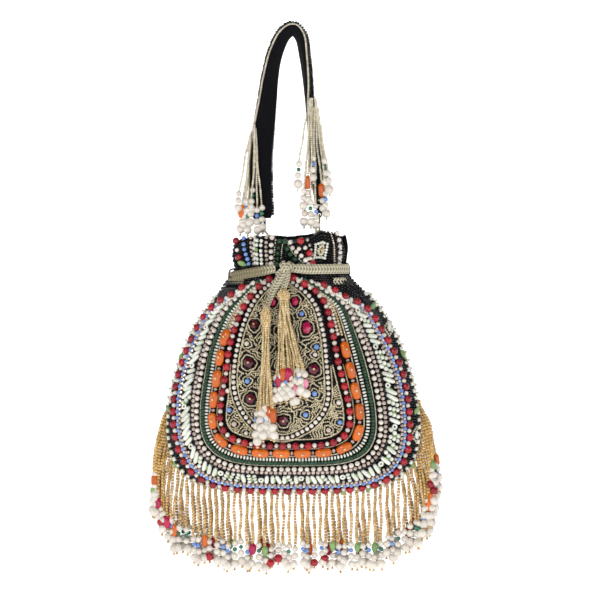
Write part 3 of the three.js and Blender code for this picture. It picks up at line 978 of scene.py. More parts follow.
STONES = (
    Stone(-30.6, -231, GARNET, 7, 8), Stone(-35, -261, GARNET, 9, 9), Stone(-33.6, -289, GARNET, 8.5, 9),
    Stone(-8, -306, GARNET, 9, 8), Stone(10.4, -233.5, PINK, 8, 11), Stone(15.8, -266, GARNET, 9.5, 9),
    Stone(1.4, -213, PINK, 6, 8), Stone(-16, -213, PINK, 5, 8.5), Stone(-9, -262, GARNET, 8, 8),
    Stone(-10, -236, GARNET, 7, 8), Stone(-10, -284, GARNET, 8, 8),
    Stone(6.4, -222.5, BLUE, 4, 4), Stone(18, -248.5, BLUE, 4.4, 4.4), Stone(-36, -275.3, BLUE, 4.2, 4.2),
    Stone(16.5, -285, BLUE, 4.4, 4.4), Stone(9.5, -301.5, BLUE, 4.2, 4.2), Stone(-24.5, -303, BLUE, 4.2, 4.2),
    Stone(-36.5, -246, PEARL, 4, 4), Stone(17, -254.5, PEARL, 3.8, 3.8), Stone(2, -250, PEARL, 4, 4),
    Stone(-22, -248, PEARL, 3.8, 3.8), Stone(-24, -274, PEARL, 4, 4), Stone(4, -276, PEARL, 4, 4),
    Stone(3.6, -292, PEARL, 3.8, 3.8), Stone(-22, -222, MAUVE, 4, 4))
CORNER_STONES = (
    Stone(-50.3, -298, BLUE, 4.2, 4.2), Stone(-46.5, -309, MAUVE, 4.4, 4.4), Stone(36.5, -307.5, BLUE, 4.2, 4.2),
    Stone(35.5, -292, PEARL, 4.2, 4.2), Stone(27.5, -313.5, MAUVE, 4, 4), Stone(-51.6, -283, PEARL, 4, 4),
    Stone(-37, -316, PEARL, 3.6, 3.6))


def filigree(stones: Sequence[Stone], keep: Callable[[float, float], bool], gap: float = 2.75,
             rings: int = 5) -> list[np.ndarray]:
    """Lines drawn round stones, each line kept where its own stone is the nearest.

    Args:
        stones: The stones.
        keep: Whether a flat point takes a line at all.
        gap: Distance between lines.
        rings: Lines round each stone.

    Returns:
        The lines on the wall.
    """
    lines = []
    for own, stone in enumerate(stones):
        for ring in range(rings):
            grow = 1.5 + gap * ring
            line: list[Point2] = []
            for i in range(97):
                angle = 2 * math.pi * i / 96 + 0.3
                wave = 1 + 0.30 * math.sin(3 * angle + 2 * own) + 0.16 * math.sin(7 * angle + own)
                x = stone.x + (stone.wide / 2 + grow * wave) * math.cos(angle)
                z = stone.z + (stone.tall / 2 + grow * wave) * math.sin(angle)
                away = [math.hypot(x - s.x, z - s.z) - (s.wide + s.tall) / 4 for s in stones]
                if min(away) > away[own] - 0.25 and keep(x, z):
                    line.append((x, z))
                else:
                    if len(line) > 3:
                        lines.append(SHAPE.sew(line))
                    line = []
            if len(line) > 3:
                lines.append(SHAPE.sew(line))
    return lines


class FrontBeadwork:
    """The embroidery on the front panel."""

    def __init__(self, ground: bpy.types.Object) -> None:
        """Takes the cloth that the beads are sewn to."""
        self.ground = ground

    def row(self, share: float, finish: Finish, pitch: float, size: Sequence[float], top: float = -194.0,
            **more: object) -> bpy.types.Mesh:
        """One row of beads along an arch."""
        return bead_rows([ARCHES.path(share, top)], finish, pitch, size, surface=self.ground,
                         seed=int(share * 100) + 3, **more)

    def build(self) -> None:
        """Sews every part of the front's pattern."""
        self.rings()
        self.ladder()
        self.motif()
        self.border()
        self.frill()

    def rings(self) -> None:
        """The arches from the inner pearls out to the outer red beads."""
        thin = (1.5, 1.4, 1.5)
        Piece("front_red_beads", "pouch").add(
            self.row(0, RED, 4.95, (6.2, 6.2, 5.8), bead=Bead.ROUND, every=2, jitter=0.04),
            self.row(0, PEARL, 4.95, (3.9, 3.9, 3.8), bead=Bead.ROUND, every=2, phase=1),
            self.row(1, RED, 4.9, (6.2, 6.2, 5.8), -200, bead=Bead.ROUND, every=2, jitter=0.04),
            self.row(1, PEARL, 4.9, (3.9, 3.9, 3.8), -200, bead=Bead.ROUND, every=2, phase=1),
        ).make("front_beadwork")
        Piece("front_orange_beads", "pouch").add(
            self.row(0.165, ORANGE, 8.1, (13.6, 7.3, 5.4), -241, bead=Bead.BARREL, every=2, jitter=0.04),
            self.row(0.165, MAUVE, 8.1, (2.8, 3.4, 3.2), -241, bead=Bead.CUT, every=2, phase=1),
            self.row(0.165, CHAMPAGNE, 8.1, (1.9, 1.9, 1.9), -241, every=2, lift=5.7)).make("front_beadwork")
        upper = []
        for share in (0.10, 0.175):
            flat = ARCHES.flat(share)
            for half in (flat[:len(flat) // 2], flat[len(flat) // 2:]):
                upper.append(SHAPE.sew(half[half[:, 1] > -240]))
        Piece("front_upper_rows", "pouch").add(
            bead_rows(upper[:2], PEARL, 3.1, (3.0, 3.0, 2.9), Bead.ROUND, self.ground, seed=14),
            bead_rows(upper[2:], CHAMPAGNE, 2.2, (2.1, 2.2, 2.0), surface=self.ground, seed=15)).make(
                "front_beadwork")
        Piece("front_gold_lines", "pouch").add(
            self.row(0.245, SILVER, 1.45, thin), self.row(0.452, SILVER, 1.45, thin),
            self.row(0.08, BRONZE, 1.6, thin, -262)).make("front_beadwork")
        Piece("front_crosswise_rows", "pouch").add(
            self.row(0.315, WHITE, 2.55, (1.7, 3.5, 2.1)),
            self.row(0.315, BLACK, 1.275, (1.2, 4.6, 1.3), every=2, phase=1, jitter=0.0)).make("front_beadwork")
        Piece("front_green_cord", "pouch").add(
            self.row(0.398, GREEN, 2.6, (2.75, 3.9, 2.9), jitter=0.08)).make("front_beadwork")
        Piece("front_pearl_rows", "pouch").add(
            self.row(0.525, PEARL, 2.5, (4.1, 4.1, 3.8), every=2, bead=Bead.ROUND),
            self.row(0.525, BLACK, 2.5, (2.4, 3.0, 2.4), every=2, phase=1, bead=Bead.CUT)).make("front_beadwork")
        Piece("front_crystals", "pouch").add(
            self.row(0.605, MAUVE, 3.7, (3.6, 3.6, 3.2), bead=Bead.CUT),
            self.row(0.888, MAUVE, 3.4, (3.3, 3.3, 3.0), bead=Bead.CUT)).make("front_beadwork")
        Piece("front_blue_rows", "pouch").add(
            self.row(0.938, BLUE, 2.5, (3.5, 3.5, 3.2), -203, bead=Bead.ROUND, every=2),
            self.row(0.938, WHITE, 2.5, (2.0, 2.4, 2.3), -203, every=2, phase=1)).make("front_beadwork")

    def ladder(self) -> None:
        """The band of short beads set across: threes of cream, single rings and green ones."""
        low, high = 0.665, 0.855
        inner, outer = ARCHES.flat(low), ARCHES.flat(high)
        count = int(path_length((inner + outer) / 2) / 4.55)
        a, b = resample(inner, count), resample(outer, count)
        cream, barrels, rings, greens, studs = [], [], [], [], []
        for i in range(1, count - 1):
            run = a[i + 1] - a[i - 1]
            slant = (noise(i, 3) - 0.5) * 0.7
            start = a[i] + run * slant * 0.5
            across = b[i] - run * slant * 0.5 - start
            long = float(np.hypot(*across))
            if i % 7 == 3:
                middle = start + across * (0.3 + 0.4 * noise(i, 6))
                rings.append(Spot(SHAPE.front(*middle), (run[0], 0, run[1]), (5.2, 5.2, 3.0)))
                studs.append(Spot(SHAPE.front(*(start + across * 0.95)), (1, 0, 0), (2.6, 2.6, 2.6)))
                continue
            if noise(i, 11) < 0.68:
                middle = start + across * 0.5
                barrels.append(Spot(SHAPE.front(*middle), (across[0], 0, across[1]), (long * 1.02, 3.5, 3.3)))
            else:
                for k in range(3):
                    at = start + across * ((k + 0.5) / 3)
                    cream.append(Spot(SHAPE.front(*at), (across[0], 0, across[1]), (long / 3 * 1.1, 3.6, 3.4)))
            beside = start + across * 0.5 + run * 0.24
            if i % 2:
                greens.append(Spot(SHAPE.front(*beside), (across[0], 0, across[1]), (5.6, 2.2, 2.2)))
        backing = [ARCHES.path(low + (high - low) * k / 3) for k in range(4)]
        Piece("front_ladder_beads", "pouch").add(
            bead_spots(cream, WHITE, Bead.ROUND, self.ground, 1.8),
            bead_spots(barrels, WHITE, Bead.BARREL, self.ground, 1.8),
            bead_spots(rings, WHITE, Bead.RING, self.ground, 1.8),
            bead_spots(greens, LEAF, Bead.ROUND, self.ground, 1.2),
            bead_spots(studs, MAUVE, Bead.CUT, self.ground, 1.3),
            bead_rows(backing, BLACK, 2.6, (2.3, 2.5, 1.4), surface=self.ground, seed=61)).make("front_beadwork")

    def motif(self) -> None:
        """The centre: stones, blue beads and pearls among close lines of antique gold."""
        arch = ARCHES.inside(2.6)
        lines = filigree(STONES, lambda x, z: within(x, z, arch))
        pearl_outer = ARCHES.inside(-3.2)
        inner_red = sideways(ARCHES.inner, 4.6)

        def corner(x: float, z: float) -> bool:
            """Whether a point lies between the pearl arch and the red beads."""
            return z < -272 and within(x, z, inner_red) and not within(x, z, pearl_outer)
        lines += filigree(CORNER_STONES, corner, 2.5, 6)
        lower = pearl_outer[pearl_outer[:, 1] < -262]
        side = inner_red[inner_red[:, 1] < -262]
        lines += [SHAPE.sew(arch), SHAPE.sew(lower), SHAPE.sew(side)]
        Piece("front_motif_lines", "pouch").add(
            bead_rows(lines, BRONZE, 1.5, (1.55, 1.45, 1.5), surface=self.ground, seed=5)).make("front_beadwork")
        ground = []
        for z in np.arange(-322, -203, 2.5):
            run = [(x, z) for x in np.arange(-58, 46, 1.5) if within(x, z, inner_red)]
            if len(run) > 2:
                ground.append(SHAPE.sew(run))
        Piece("front_motif_ground", "pouch").add(
            bead_rows(ground, BLACK, 2.6, (2.3, 2.3, 1.1), Bead.CUT, self.ground, 0.4, seed=6)).make(
                "front_beadwork")
        meshes = []
        for finish in (GARNET, PINK, BLUE, PEARL, MAUVE):
            chosen = [s for s in STONES + CORNER_STONES if s.finish is finish]
            small = finish in (BLUE, PEARL, MAUVE)
            meshes.append(bead_spots(
                [Spot(SHAPE.front(s.x, s.z), (1, 0, 0), (s.wide, s.tall, 3.6 if small else 4.6)) for s in chosen],
                finish, Bead.ROUND if small else Bead.CUT, self.ground, 1.7 if small else 1.9))
        eyes = [Spot(SHAPE.front(s.x, s.z), (1, 0, 0), (1.8, 1.8, 1.8)) for s in STONES if s.finish is GARNET]
        Piece("front_motif_stones", "pouch").add(
            *meshes, bead_spots(eyes, CHAMPAGNE, Bead.SEED, self.ground, 4.4)).make("front_beadwork")
        Piece("front_inner_pearls", "pouch").add(
            bead_rows([SHAPE.sew(ARCHES.pearls)], PEARL, 2.1, (3.5, 3.5, 3.4), Bead.ROUND, self.ground, every=2,
                      seed=8),
            bead_rows([SHAPE.sew(ARCHES.pearls)], BLACK, 2.1, (1.7, 2.6, 2.0), Bead.CUT, self.ground, every=2,
                      phase=1, seed=9)).make("front_beadwork")

    def border(self) -> None:
        """Black seed beads from the outer reds to the seam, with leaves and lozenges."""
        rows = []
        outer = ARCHES.flat(1.0, -200)
        for sign in (-1, 1):
            flank = [p for p in outer if p[0] * sign > 0 and p[1] > SHAPE.bottom(p[0]) + 1]
            for k in range(1, 13):
                row = []
                for x, z in flank:
                    a, _ = SHAPE.widths(z)
                    angle = math.acos(min(abs(x) / a, 0.999)) * (1 - k / 12.6)
                    row.append(SHAPE.front(sign * a * math.cos(angle), z))
                rows.append(np.array(row))
        Piece("front_border_ground", "pouch").add(
            bead_rows(rows, BLACK, 2.3, (2.2, 2.3, 2.2), Bead.CUT, self.ground, 0.9, jitter=0.22, seed=11)
        ).make("front_beadwork")
        leaves = [(62, -217.5), (85.6, -255.4), (96.2, -299.5), (93, -341.8), (60, -360.2), (-97.4, -299),
                  (-87.6, -256.5), (-92.6, -341), (40, -361.6)]
        lozenges = [(75, -234), (96.8, -318.5), (85.5, -352)]
        leaf = [Spot(SHAPE.front(x, z), (0.5, 0, -1 if i % 2 else 0.9), (8.5, 4.8, 3.4))
                for i, (x, z) in enumerate(leaves)]
        frames = []
        for x, z in lozenges:
            for k in range(16):
                side, along = divmod(k, 4)
                t = along / 4
                ends = ((0, 6.2), (4.2, 0), (0, -6.2), (-4.2, 0), (0, 6.2))
                dx = ends[side][0] * (1 - t) + ends[side + 1][0] * t
                dz = ends[side][1] * (1 - t) + ends[side + 1][1] * t
                frames.append(Spot(SHAPE.front(x + dx, z + dz), (1, 0, 0), (2.2, 2.2, 2.2)))
        square = [Spot(SHAPE.front(x, z), (0, 0, 1), (8.4, 5.6, 3.0)) for x, z in lozenges]
        Piece("front_border_leaves", "pouch").add(
            bead_spots(leaf, LEAF, Bead.LEAF, self.ground, 2.4),
            bead_spots(square, WHITE, Bead.CUT, self.ground, 1.8),
            bead_spots(frames, SILVER, Bead.ROUND, self.ground, 1.6)).make("front_beadwork")

    def frill(self) -> None:
        """The pattern's rows carried up past the drawstring onto the gathered frill."""
        plan = (
            (BLACK, 3.0, -46.0, -43.6, 1, 0), (RED, 5.8, -43.0, -40.2, 2, 0), (PEARL, 3.6, -43.0, -40.2, 2, 1),
            (BLUE, 3.6, -38.8, -36.4, 1, 0), (MAUVE, 3.2, -35.6, -33.4, 1, 0), (PEARL, 3.4, -32.6, -30.8, 1, 0),
            (MAUVE, 3.2, -21.4, -21.0, 1, 0), (PEARL, 4.2, -17.8, -18.2, 1, 0), (SILVER, 1.6, -14.8, -15.8, 1, 0),
            (GREEN, 3.8, -11.8, -13.4, 1, 0), (SILVER, 1.5, -9.0, -11.0, 1, 0), (GREEN, 4.4, -7.6, 5.2, 1, 0),
            (SILVER, 1.6, -4.8, 7.4, 1, 0), (PEARL, 4.2, -1.6, 10.2, 1, 0), (PEARL, 3.6, 1.6, 12.2, 2, 1),
            (RED, 5.8, 5.4, 14.2, 2, 0), (PEARL, 3.8, 5.4, 14.2, 2, 1), (MAUVE, 3.2, 10.0, 16.6, 1, 0),
            (PEARL, 4.2, 32.0, 34.0, 1, 0), (SILVER, 1.7, 29.4, 31.0, 1, 0), (SILVER, 1.7, 35.0, 36.6, 1, 0),
            (WHITE, 2.8, 37.6, 38.4, 1, 0))
        meshes = []
        for finish, size, top_x, low_x, every, phase in plan:
            path = np.array([self.on_frill(top_x + (low_x - top_x) * t, -161.8 - 20.6 * t)
                             for t in np.linspace(0, 1, 16)])
            gap = 4.7 if every == 2 else size + 0.12
            shape = Bead.SEED if size < 3 or finish is GREEN else Bead.CUT if finish is MAUVE else Bead.ROUND
            meshes.append(bead_rows([path], finish, gap, (size * 0.96, size, size * 0.9), shape, self.ground,
                                    every=every, phase=phase, seed=int(size * 10 + top_x + 50)))
        Piece("frill_rows", "pouch").add(*meshes).make("front_beadwork")
        rungs, between = [], []
        for k in range(6):
            z = -163.4 - 3.6 * k
            slope = (noise(k, 2) - 0.5) * 2.2
            for i, x in enumerate(np.linspace(-29.2, -24.0, 3)):
                at = self.on_frill(x, z + slope * (i / 2 - 0.5) - 0.5 * i)
                (between if k % 4 == 2 and i == 1 else rungs).append(Spot(at, (1, 0, 0.1), (2.9, 3.3, 3.2)))
        Piece("frill_ladder", "pouch").add(
            bead_spots(rungs, WHITE, Bead.ROUND, self.ground, 1.8),
            bead_spots(between, LEAF, Bead.ROUND, self.ground, 1.8)).make("front_beadwork")
        ground = [np.array([SHAPE.point(angle, z) for z in np.linspace(-199, -161.5, 18)])
                  for angle in np.arange(0.1, math.pi - 0.08, 0.055)]
        Piece("frill_ground", "pouch").add(
            bead_rows(ground, BLACK, 2.2, (2.1, 2.3, 1.7), Bead.CUT, self.ground, jitter=0.2, seed=12)
        ).make("front_beadwork")
        tile, rim = [], []
        for k in range(20):
            side, along = divmod(k, 5)
            t = along / 5
            ends = ((-5, 5.2), (5.4, 3.6), (4.4, -6.0), (-5.8, -4.4), (-5, 5.2))
            dx = ends[side][0] * (1 - t) + ends[side + 1][0] * t
            dz = ends[side][1] * (1 - t) + ends[side + 1][1] * t
            rim.append(Spot(self.on_frill(22 + dx, -173 + dz), (1, 0, 0), (2.4, 2.4, 2.4)))
            if k < 12:
                turn = 2 * math.pi * k / 12
                tile.append(Spot(self.on_frill(22 + 2.9 * math.cos(turn), -173.4 + 2.9 * math.sin(turn)),
                                 (math.cos(turn), 0, math.sin(turn)), (2.8, 1.9, 2.0)))
        centre = Spot(self.on_frill(22, -173.4), (1, 0, 0), (3.2, 3.2, 3.0))
        leaf = Spot(self.on_frill(-39, -182), (0.9, 0, -0.4), (8.0, 4.6, 3.4))
        Piece("frill_lozenge", "pouch").add(
            bead_spots(rim, WHITE, Bead.ROUND, self.ground, 2.2),
            bead_spots(tile, SILVER, Bead.ROUND, self.ground, 2),
            bead_spots([centre], CHAMPAGNE, Bead.CUT, self.ground, 2.2),
            bead_spots([leaf], LEAF, Bead.LEAF, self.ground, 3.0)).make("front_beadwork")

    @staticmethod
    def on_frill(x: float, z: float) -> np.ndarray:
        """The frill's point seen straight on at x and z."""
        return SHAPE.point(math.acos(max(min((x + 3.2) / 43.2, 0.99), -0.99)), z)


class BackBeadwork:
    """The back panel: plain black seed beads in rows that run up the pouch."""

    def __init__(self, ground: bpy.types.Object) -> None:
        """Takes the cloth that the beads are sewn to."""
        self.ground = ground

    def build(self) -> None:
        """Sews the rows."""
        rows = []
        for k in range(66):
            angle = math.acos(-0.985 + 1.97 * k / 65)
            rows.append(np.array([SHAPE.point(-angle, z) for z in np.linspace(-357, -162, 60)]))
        Piece("back_black_beads", "pouch").add(
            bead_rows(rows, BLACK, 3.1, (3.0, 3.0, 2.1), Bead.CUT, self.ground, jitter=0.15, seed=21)
        ).make("back_beadwork")


# ---------------------------------------------------------------- seam


class Seam:
    """The edge line along the seam of the two panels."""

    @staticmethod
    def path(outward: float, top: float = -206.0, y: float = 0.0) -> np.ndarray:
        """The seam's line, moved outwards, from the right shoulder round the bottom to the left one.

        Args:
            outward: How far out of the seam it lies.
            top: The height that both its ends reach.
            y: Its place from front to back.

        Returns:
            The line's points.
        """
        p = SHAPE.profile
        tangent = np.gradient(p, axis=0)
        length = np.hypot(tangent[:, 0], tangent[:, 2])
        x = p[:, 0] + outward * tangent[:, 2] / length
        z = p[:, 2] - outward * tangent[:, 0] / length
        keep = (z < top) & (p[:, 0] > 8)
        right = np.column_stack([x[keep], np.full(keep.sum(), y), z[keep]])
        left = right * (-1, 1, 1)
        return resample(np.vstack([right[::-1], left]), 240)

    def build(self) -> None:
        """Makes the edge of cream beads with gold beads beside it and small points outside."""
        Piece("seam_edge_beads", "pouch").add(
            bead_rows([self.path(1.7)], WHITE, 2.7, (2.6, 3.0, 3.0), Bead.ROUND, jitter=0.2, seed=31),
            bead_rows([self.path(0.2, y=-5.4)], WHITE, 2.9, (3.3, 3.0, 3.0), every=2, jitter=0.25, seed=35),
            bead_rows([self.path(0.2, y=-5.4)], BLACK, 2.9, (2.4, 2.6, 2.6), every=2, phase=1, seed=36),
            bead_rows([self.path(0.9, y=-2.3)], CHAMPAGNE, 2.1, (2.0, 2.1, 2.1), jitter=0.1, seed=32),
            bead_rows([self.path(0.9, y=2.3)], BRONZE, 2.1, (2.0, 2.0, 2.0), seed=33),
            bead_rows([self.path(3.3)], PEARL, 3.4, (2.0, 2.0, 2.0), every=2, jitter=0.2, seed=34),
        ).make("seam_beads", "seam_piping")


# ---------------------------------------------------------------- fringe, tassels, strand bunches


class Ending(Enum):
    """What closes a strand below its seed beads: finish, shape and size of each bead, downwards."""

    PEARLS = ((PEARL, Bead.ROUND, 4.4), (BLUE, Bead.ROUND, 3.4), (PEARL, Bead.ROUND, 5.0), (PEARL, Bead.ROUND, 6.5))
    WHITES = ((PEARL, Bead.ROUND, 4.6), (PEARL, Bead.ROUND, 5.2), (PEARL, Bead.ROUND, 6.6))
    GREEN_DROP = ((PEARL, Bead.ROUND, 4.6), (EMERALD, Bead.ROUND, 3.3), (PEARL, Bead.ROUND, 5.2),
                  (PEARL, Bead.ROUND, 6.6))
    RED_DROP = ((PEARL, Bead.ROUND, 4.2), (PEARL, Bead.ROUND, 4.8), (RED, Bead.ROUND, 6.4))
    ORANGE_DROP = ((ORANGE, Bead.BARREL, 4.8), (PEARL, Bead.ROUND, 4.6), (PEARL, Bead.ROUND, 6.2))
    LEAF_DROP = ((LEAF, Bead.LEAF, 4.8), (PEARL, Bead.ROUND, 4.8), (PEARL, Bead.ROUND, 6.2))
    PINK_DROP = ((PINK, Bead.ROUND, 6.2), (CHAMPAGNE, Bead.ROUND, 2.4), (PEARL, Bead.ROUND, 5.8))
    ROSE_DROP = ((PEARL, Bead.ROUND, 4.8), (ROSE, Bead.LEAF, 4.4), (PEARL, Bead.ROUND, 6.0))


STRETCHED = {ORANGE: 2.0, LEAF: 1.8, PINK: 1.55, ROSE: 1.7}


@dataclass
class Strand:
    """One string of beads, what closes it, and how large those beads are."""

    path: np.ndarray
    ending: Ending
    scale: float = 1.0


class Bunch:
    """Strands that share a body: strings of seed beads ending in pearls and coloured beads."""

    def __init__(self, name: str, body: str, finish: Finish, seed_size: float = 2.0) -> None:
        """Starts an empty bunch.

        Args:
            name: The piece's name.
            body: The body that it swings with.
            finish: The finish of its seed beads.
            seed_size: Their diameter.
        """
        self.name, self.body, self.finish, self.seed_size = name, body, finish, seed_size
        self.strings: list[np.ndarray] = []
        self.spots: dict[tuple[Finish, Bead], list[Spot]] = {}

    def hang(self, strand: Strand) -> None:
        """Adds a strand: its ending hangs from the end of its path.

        Args:
            strand: The strand's path, ending and size.
        """
        self.strings.append(strand.path)
        end = strand.path[-1].astype(float).copy()
        down = strand.path[-1] - strand.path[-2]
        down = down / np.linalg.norm(down) * 0.4 + np.array([0, 0, -0.6])
        down = down / np.linalg.norm(down)
        for i, (finish, bead, size) in enumerate(strand.ending.value):
            wobble = strand.scale * (1 + 0.16 * (noise(end[0], end[2], i) - 0.5))
            long = size * STRETCHED.get(finish, 1.0) * wobble
            end = end + down * (long / 2 + 0.1)
            sideways = 0.7 * (noise(end[0], i, 3.1) - 0.5)
            self.spots.setdefault((finish, bead), []).append(
                Spot(end + (sideways, sideways, 0), down, (long, size * wobble, size * wobble)))
            end = end + down * (long / 2)
        tip = end + down * 0.9
        self.spots.setdefault((self.finish, Bead.ROUND), []).append(Spot(tip, down, (2.2, 2.2, 2.2)))

    def make(self, slot: str, *replaced: str, hang: tuple[float, float] | None = None,
             holder: str = "pouch") -> bpy.types.Object:
        """Makes the bunch one piece, its upper part kept with its holder where hang is given.

        Args:
            slot: The record's material slot.
            replaced: The frame nodes that it stands for.
            hang: Two heights; when given, the piece is put on no body and its transform is baked.
            holder: A body's name, stored on the piece; not used.

        Returns:
            The piece's object.
        """
        size = (self.seed_size * 0.94, self.seed_size, self.seed_size)
        piece = Piece(self.name, self.body, hang=hang, holder=holder)
        piece.add(bead_rows(self.strings, self.finish, self.seed_size * 0.9, size, jitter=0.12,
                            seed=len(self.strings)))
        for (finish, bead), spots in self.spots.items():
            piece.add(bead_spots(spots, finish, bead))
        return piece.make(slot, *replaced)


def sway(top: Sequence[float], bottom: Sequence[float], amount: float, seed: float, count: int = 12) -> np.ndarray:
    """A hanging path from top to bottom with a slight irregular sway.

    Args:
        top: Where it starts.
        bottom: Where it ends.
        amount: The most it leaves the straight line by.
        seed: What makes its sway its own.
        count: How many points it has.

    Returns:
        The path's points.
    """
    top, bottom = np.array(top, float), np.array(bottom, float)
    path = []
    for i in range(count):
        t = i / (count - 1)
        bend = amount * math.sin(math.pi * t)
        ripple = amount * 0.35 * math.sin(3 * math.pi * t + seed)
        offset = np.array([bend * (noise(seed, 1) - 0.5) * 2 + ripple * math.sin(math.pi * t),
                           bend * (noise(seed, 2) - 0.5) * 2, 0])
        path.append(top + (bottom - top) * t + offset)
    return np.array(path)


@dataclass
class Fringe:
    """The bead fringe along the seam, in the frame's nine stretches."""

    pitch: float = 4.9
    length: float = 37.0
    endings: tuple = (Ending.PEARLS, Ending.GREEN_DROP, Ending.RED_DROP, Ending.WHITES, Ending.ORANGE_DROP,
                      Ending.PEARLS, Ending.LEAF_DROP, Ending.GREEN_DROP, Ending.PINK_DROP, Ending.WHITES,
                      Ending.PEARLS)
    tops: dict = field(default_factory=lambda: {
        "side": (-0.331, -0.346), "corner": (-0.350, -0.362), "turn": (-0.3605, -0.368), "base": (-0.3655, -0.372)})

    def build(self) -> None:
        """Hangs the strands of every stretch."""
        seam = resample(Seam.path(2.4, -292.0), 700)
        gaps = np.linalg.norm(np.diff(seam, axis=0), axis=1).mean()
        step = self.pitch / gaps
        places = [seam[int(round(i * step))] for i in range(int(len(seam) / step))]
        for node in [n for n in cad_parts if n.startswith("fringe_")]:
            kind = node.split("_")[1]
            own = [p for p in places if self.stretch(p) == node]
            bunch = Bunch(f"{node}_strands", node, GOLD, 2.6)
            for place in own:
                self._pair(bunch, place)
            bunch.make("fringe_beads", node, hang=self.tops[kind])

    @staticmethod
    def stretch(place: np.ndarray) -> str:
        """The name of the stretch that a place on the seam belongs to.

        Args:
            place: A point on the seam.

        Returns:
            The fringe node's name.
        """
        reach, side = abs(place[0]), "right" if place[0] > 0 else "left"
        if place[2] > -330 and reach > 90:
            return f"fringe_side_{side}"
        for limit, kind in ((86.0, "corner"), (66.2, "turn"), (27.0, "base")):
            if reach > limit:
                return f"fringe_{kind}_{side}"
        return "fringe_base_middle"

    def _pair(self, bunch: Bunch, place: np.ndarray) -> None:
        """Hangs the strings of one place: one always, and a second one behind it at most places.

        Args:
            bunch: The stretch's bunch.
            place: The place on the seam.
        """
        x, _, z = place
        outward = math.copysign(max(abs(x) - 82, 0) * 0.28 + 0.14 * max(z + 332, 0), x)
        for k, (y, shift) in enumerate(((-2.6, 0.0), (1.8, 2.2))):
            seed = x * 1.7 + z + k
            if k and noise(seed, 12) < 0.3:
                continue
            drop = self.length + 6 * noise(seed, 9) - 2.0 * k + 0.42 * max(abs(x) - 88, 0)
            start = (x, y * 0.4, z)
            knee = (x + outward * 0.75 + shift * 0.3, y, z - drop * 0.45)
            end = (x + outward + shift + 1.4 * (noise(seed, 5) - 0.5), y * 1.3, z - drop)
            path = catmull([start, knee, end], 8)
            path[1:-1, 0] += 0.5 * np.sin(np.linspace(0, 7, len(path) - 2) + seed)
            choice = self.endings[int(noise(seed, 4, 2) * len(self.endings))]
            bunch.hang(Strand(path, choice, 1.1))


@dataclass
class Tassel:
    """A netted head with a skirt of bead strands."""

    side: str
    strands: int
    wide: float
    bottoms: Callable[[int], tuple[float, float, float]]
    choices: tuple

    def build(self) -> None:
        """Winds the head and hangs the skirt."""
        low, high = (np.array(corner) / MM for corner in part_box(f"tassel_head_{self.side}"))
        middle = (low + high) / 2
        tall = high[2] - low[2]
        outline = [(0.0, 0.62), (0.18, 0.84), (0.42, 1.0), (0.62, 0.94), (0.8, 0.74), (1.0, 0.46)]
        turns = int(tall / 1.75)
        helix = []
        for i in range(turns * 18):
            t = i / (turns * 18 - 1)
            angle = 2 * math.pi * turns * t
            r = self.wide / 2 * float(np.interp(t, *zip(*outline))) - 0.9
            helix.append((middle[0] + r * math.cos(angle), middle[1] + r * math.sin(angle),
                          low[2] + 0.8 + t * (tall - 1.6)))
        profile = [(0.0, low[2] + 0.4)] + [
            (max(self.wide / 2 * r - 1.2, 0.4), low[2] + 0.5 + t * (tall - 1.4)) for t, r in outline]
        core = lathe(middle[0], middle[1], profile + [(0.0, high[2] - 0.8)])
        Piece(f"tassel_head_{self.side}_net", f"tassel_{self.side}").add(
            bead_rows([np.array(helix)], CHAMPAGNE, 1.95, (1.9, 2.0, 2.0), Bead.ROUND, seed=41),
            dressed(core, GOLD)).make("fringe_beads", f"tassel_head_{self.side}")
        bunch = Bunch(f"tassel_skirt_{self.side}_strands", f"tassel_{self.side}", CHAMPAGNE, 2.0)
        for i in range(self.strands):
            x, y, z = self.bottoms(i)
            angle = 2 * math.pi * i / self.strands
            start = (middle[0] + (self.wide / 2 - 1.6) * 0.8 * math.cos(angle), middle[1] + 1.6 * math.sin(angle),
                     low[2] + 1.0)
            bunch.hang(Strand(sway(start, (x, y, z), 1.0, i * 3.3, 14), self.choices[i % len(self.choices)], 1.16))
        bunch.make("fringe_beads", f"tassel_skirt_{self.side}")


def lathe(x: float, y: float, profile: Sequence[tuple[float, float]], sides: int = 24) -> bpy.types.Mesh:
    """A closed turned body about an upright axis.

    Args:
        x: The axis's place across.
        y: Its place from front to back.
        profile: Radius and height, from one end to the other.
        sides: Points round it.

    Returns:
        The closed mesh.
    """
    rows = [[(x + r * math.cos(2 * math.pi * k / sides), y + r * math.sin(2 * math.pi * k / sides), z)
             for k in range(sides)] for r, z in profile]
    return outwards(grid_mesh("turned", rows, True))


# ---------------------------------------------------------------- drawstring


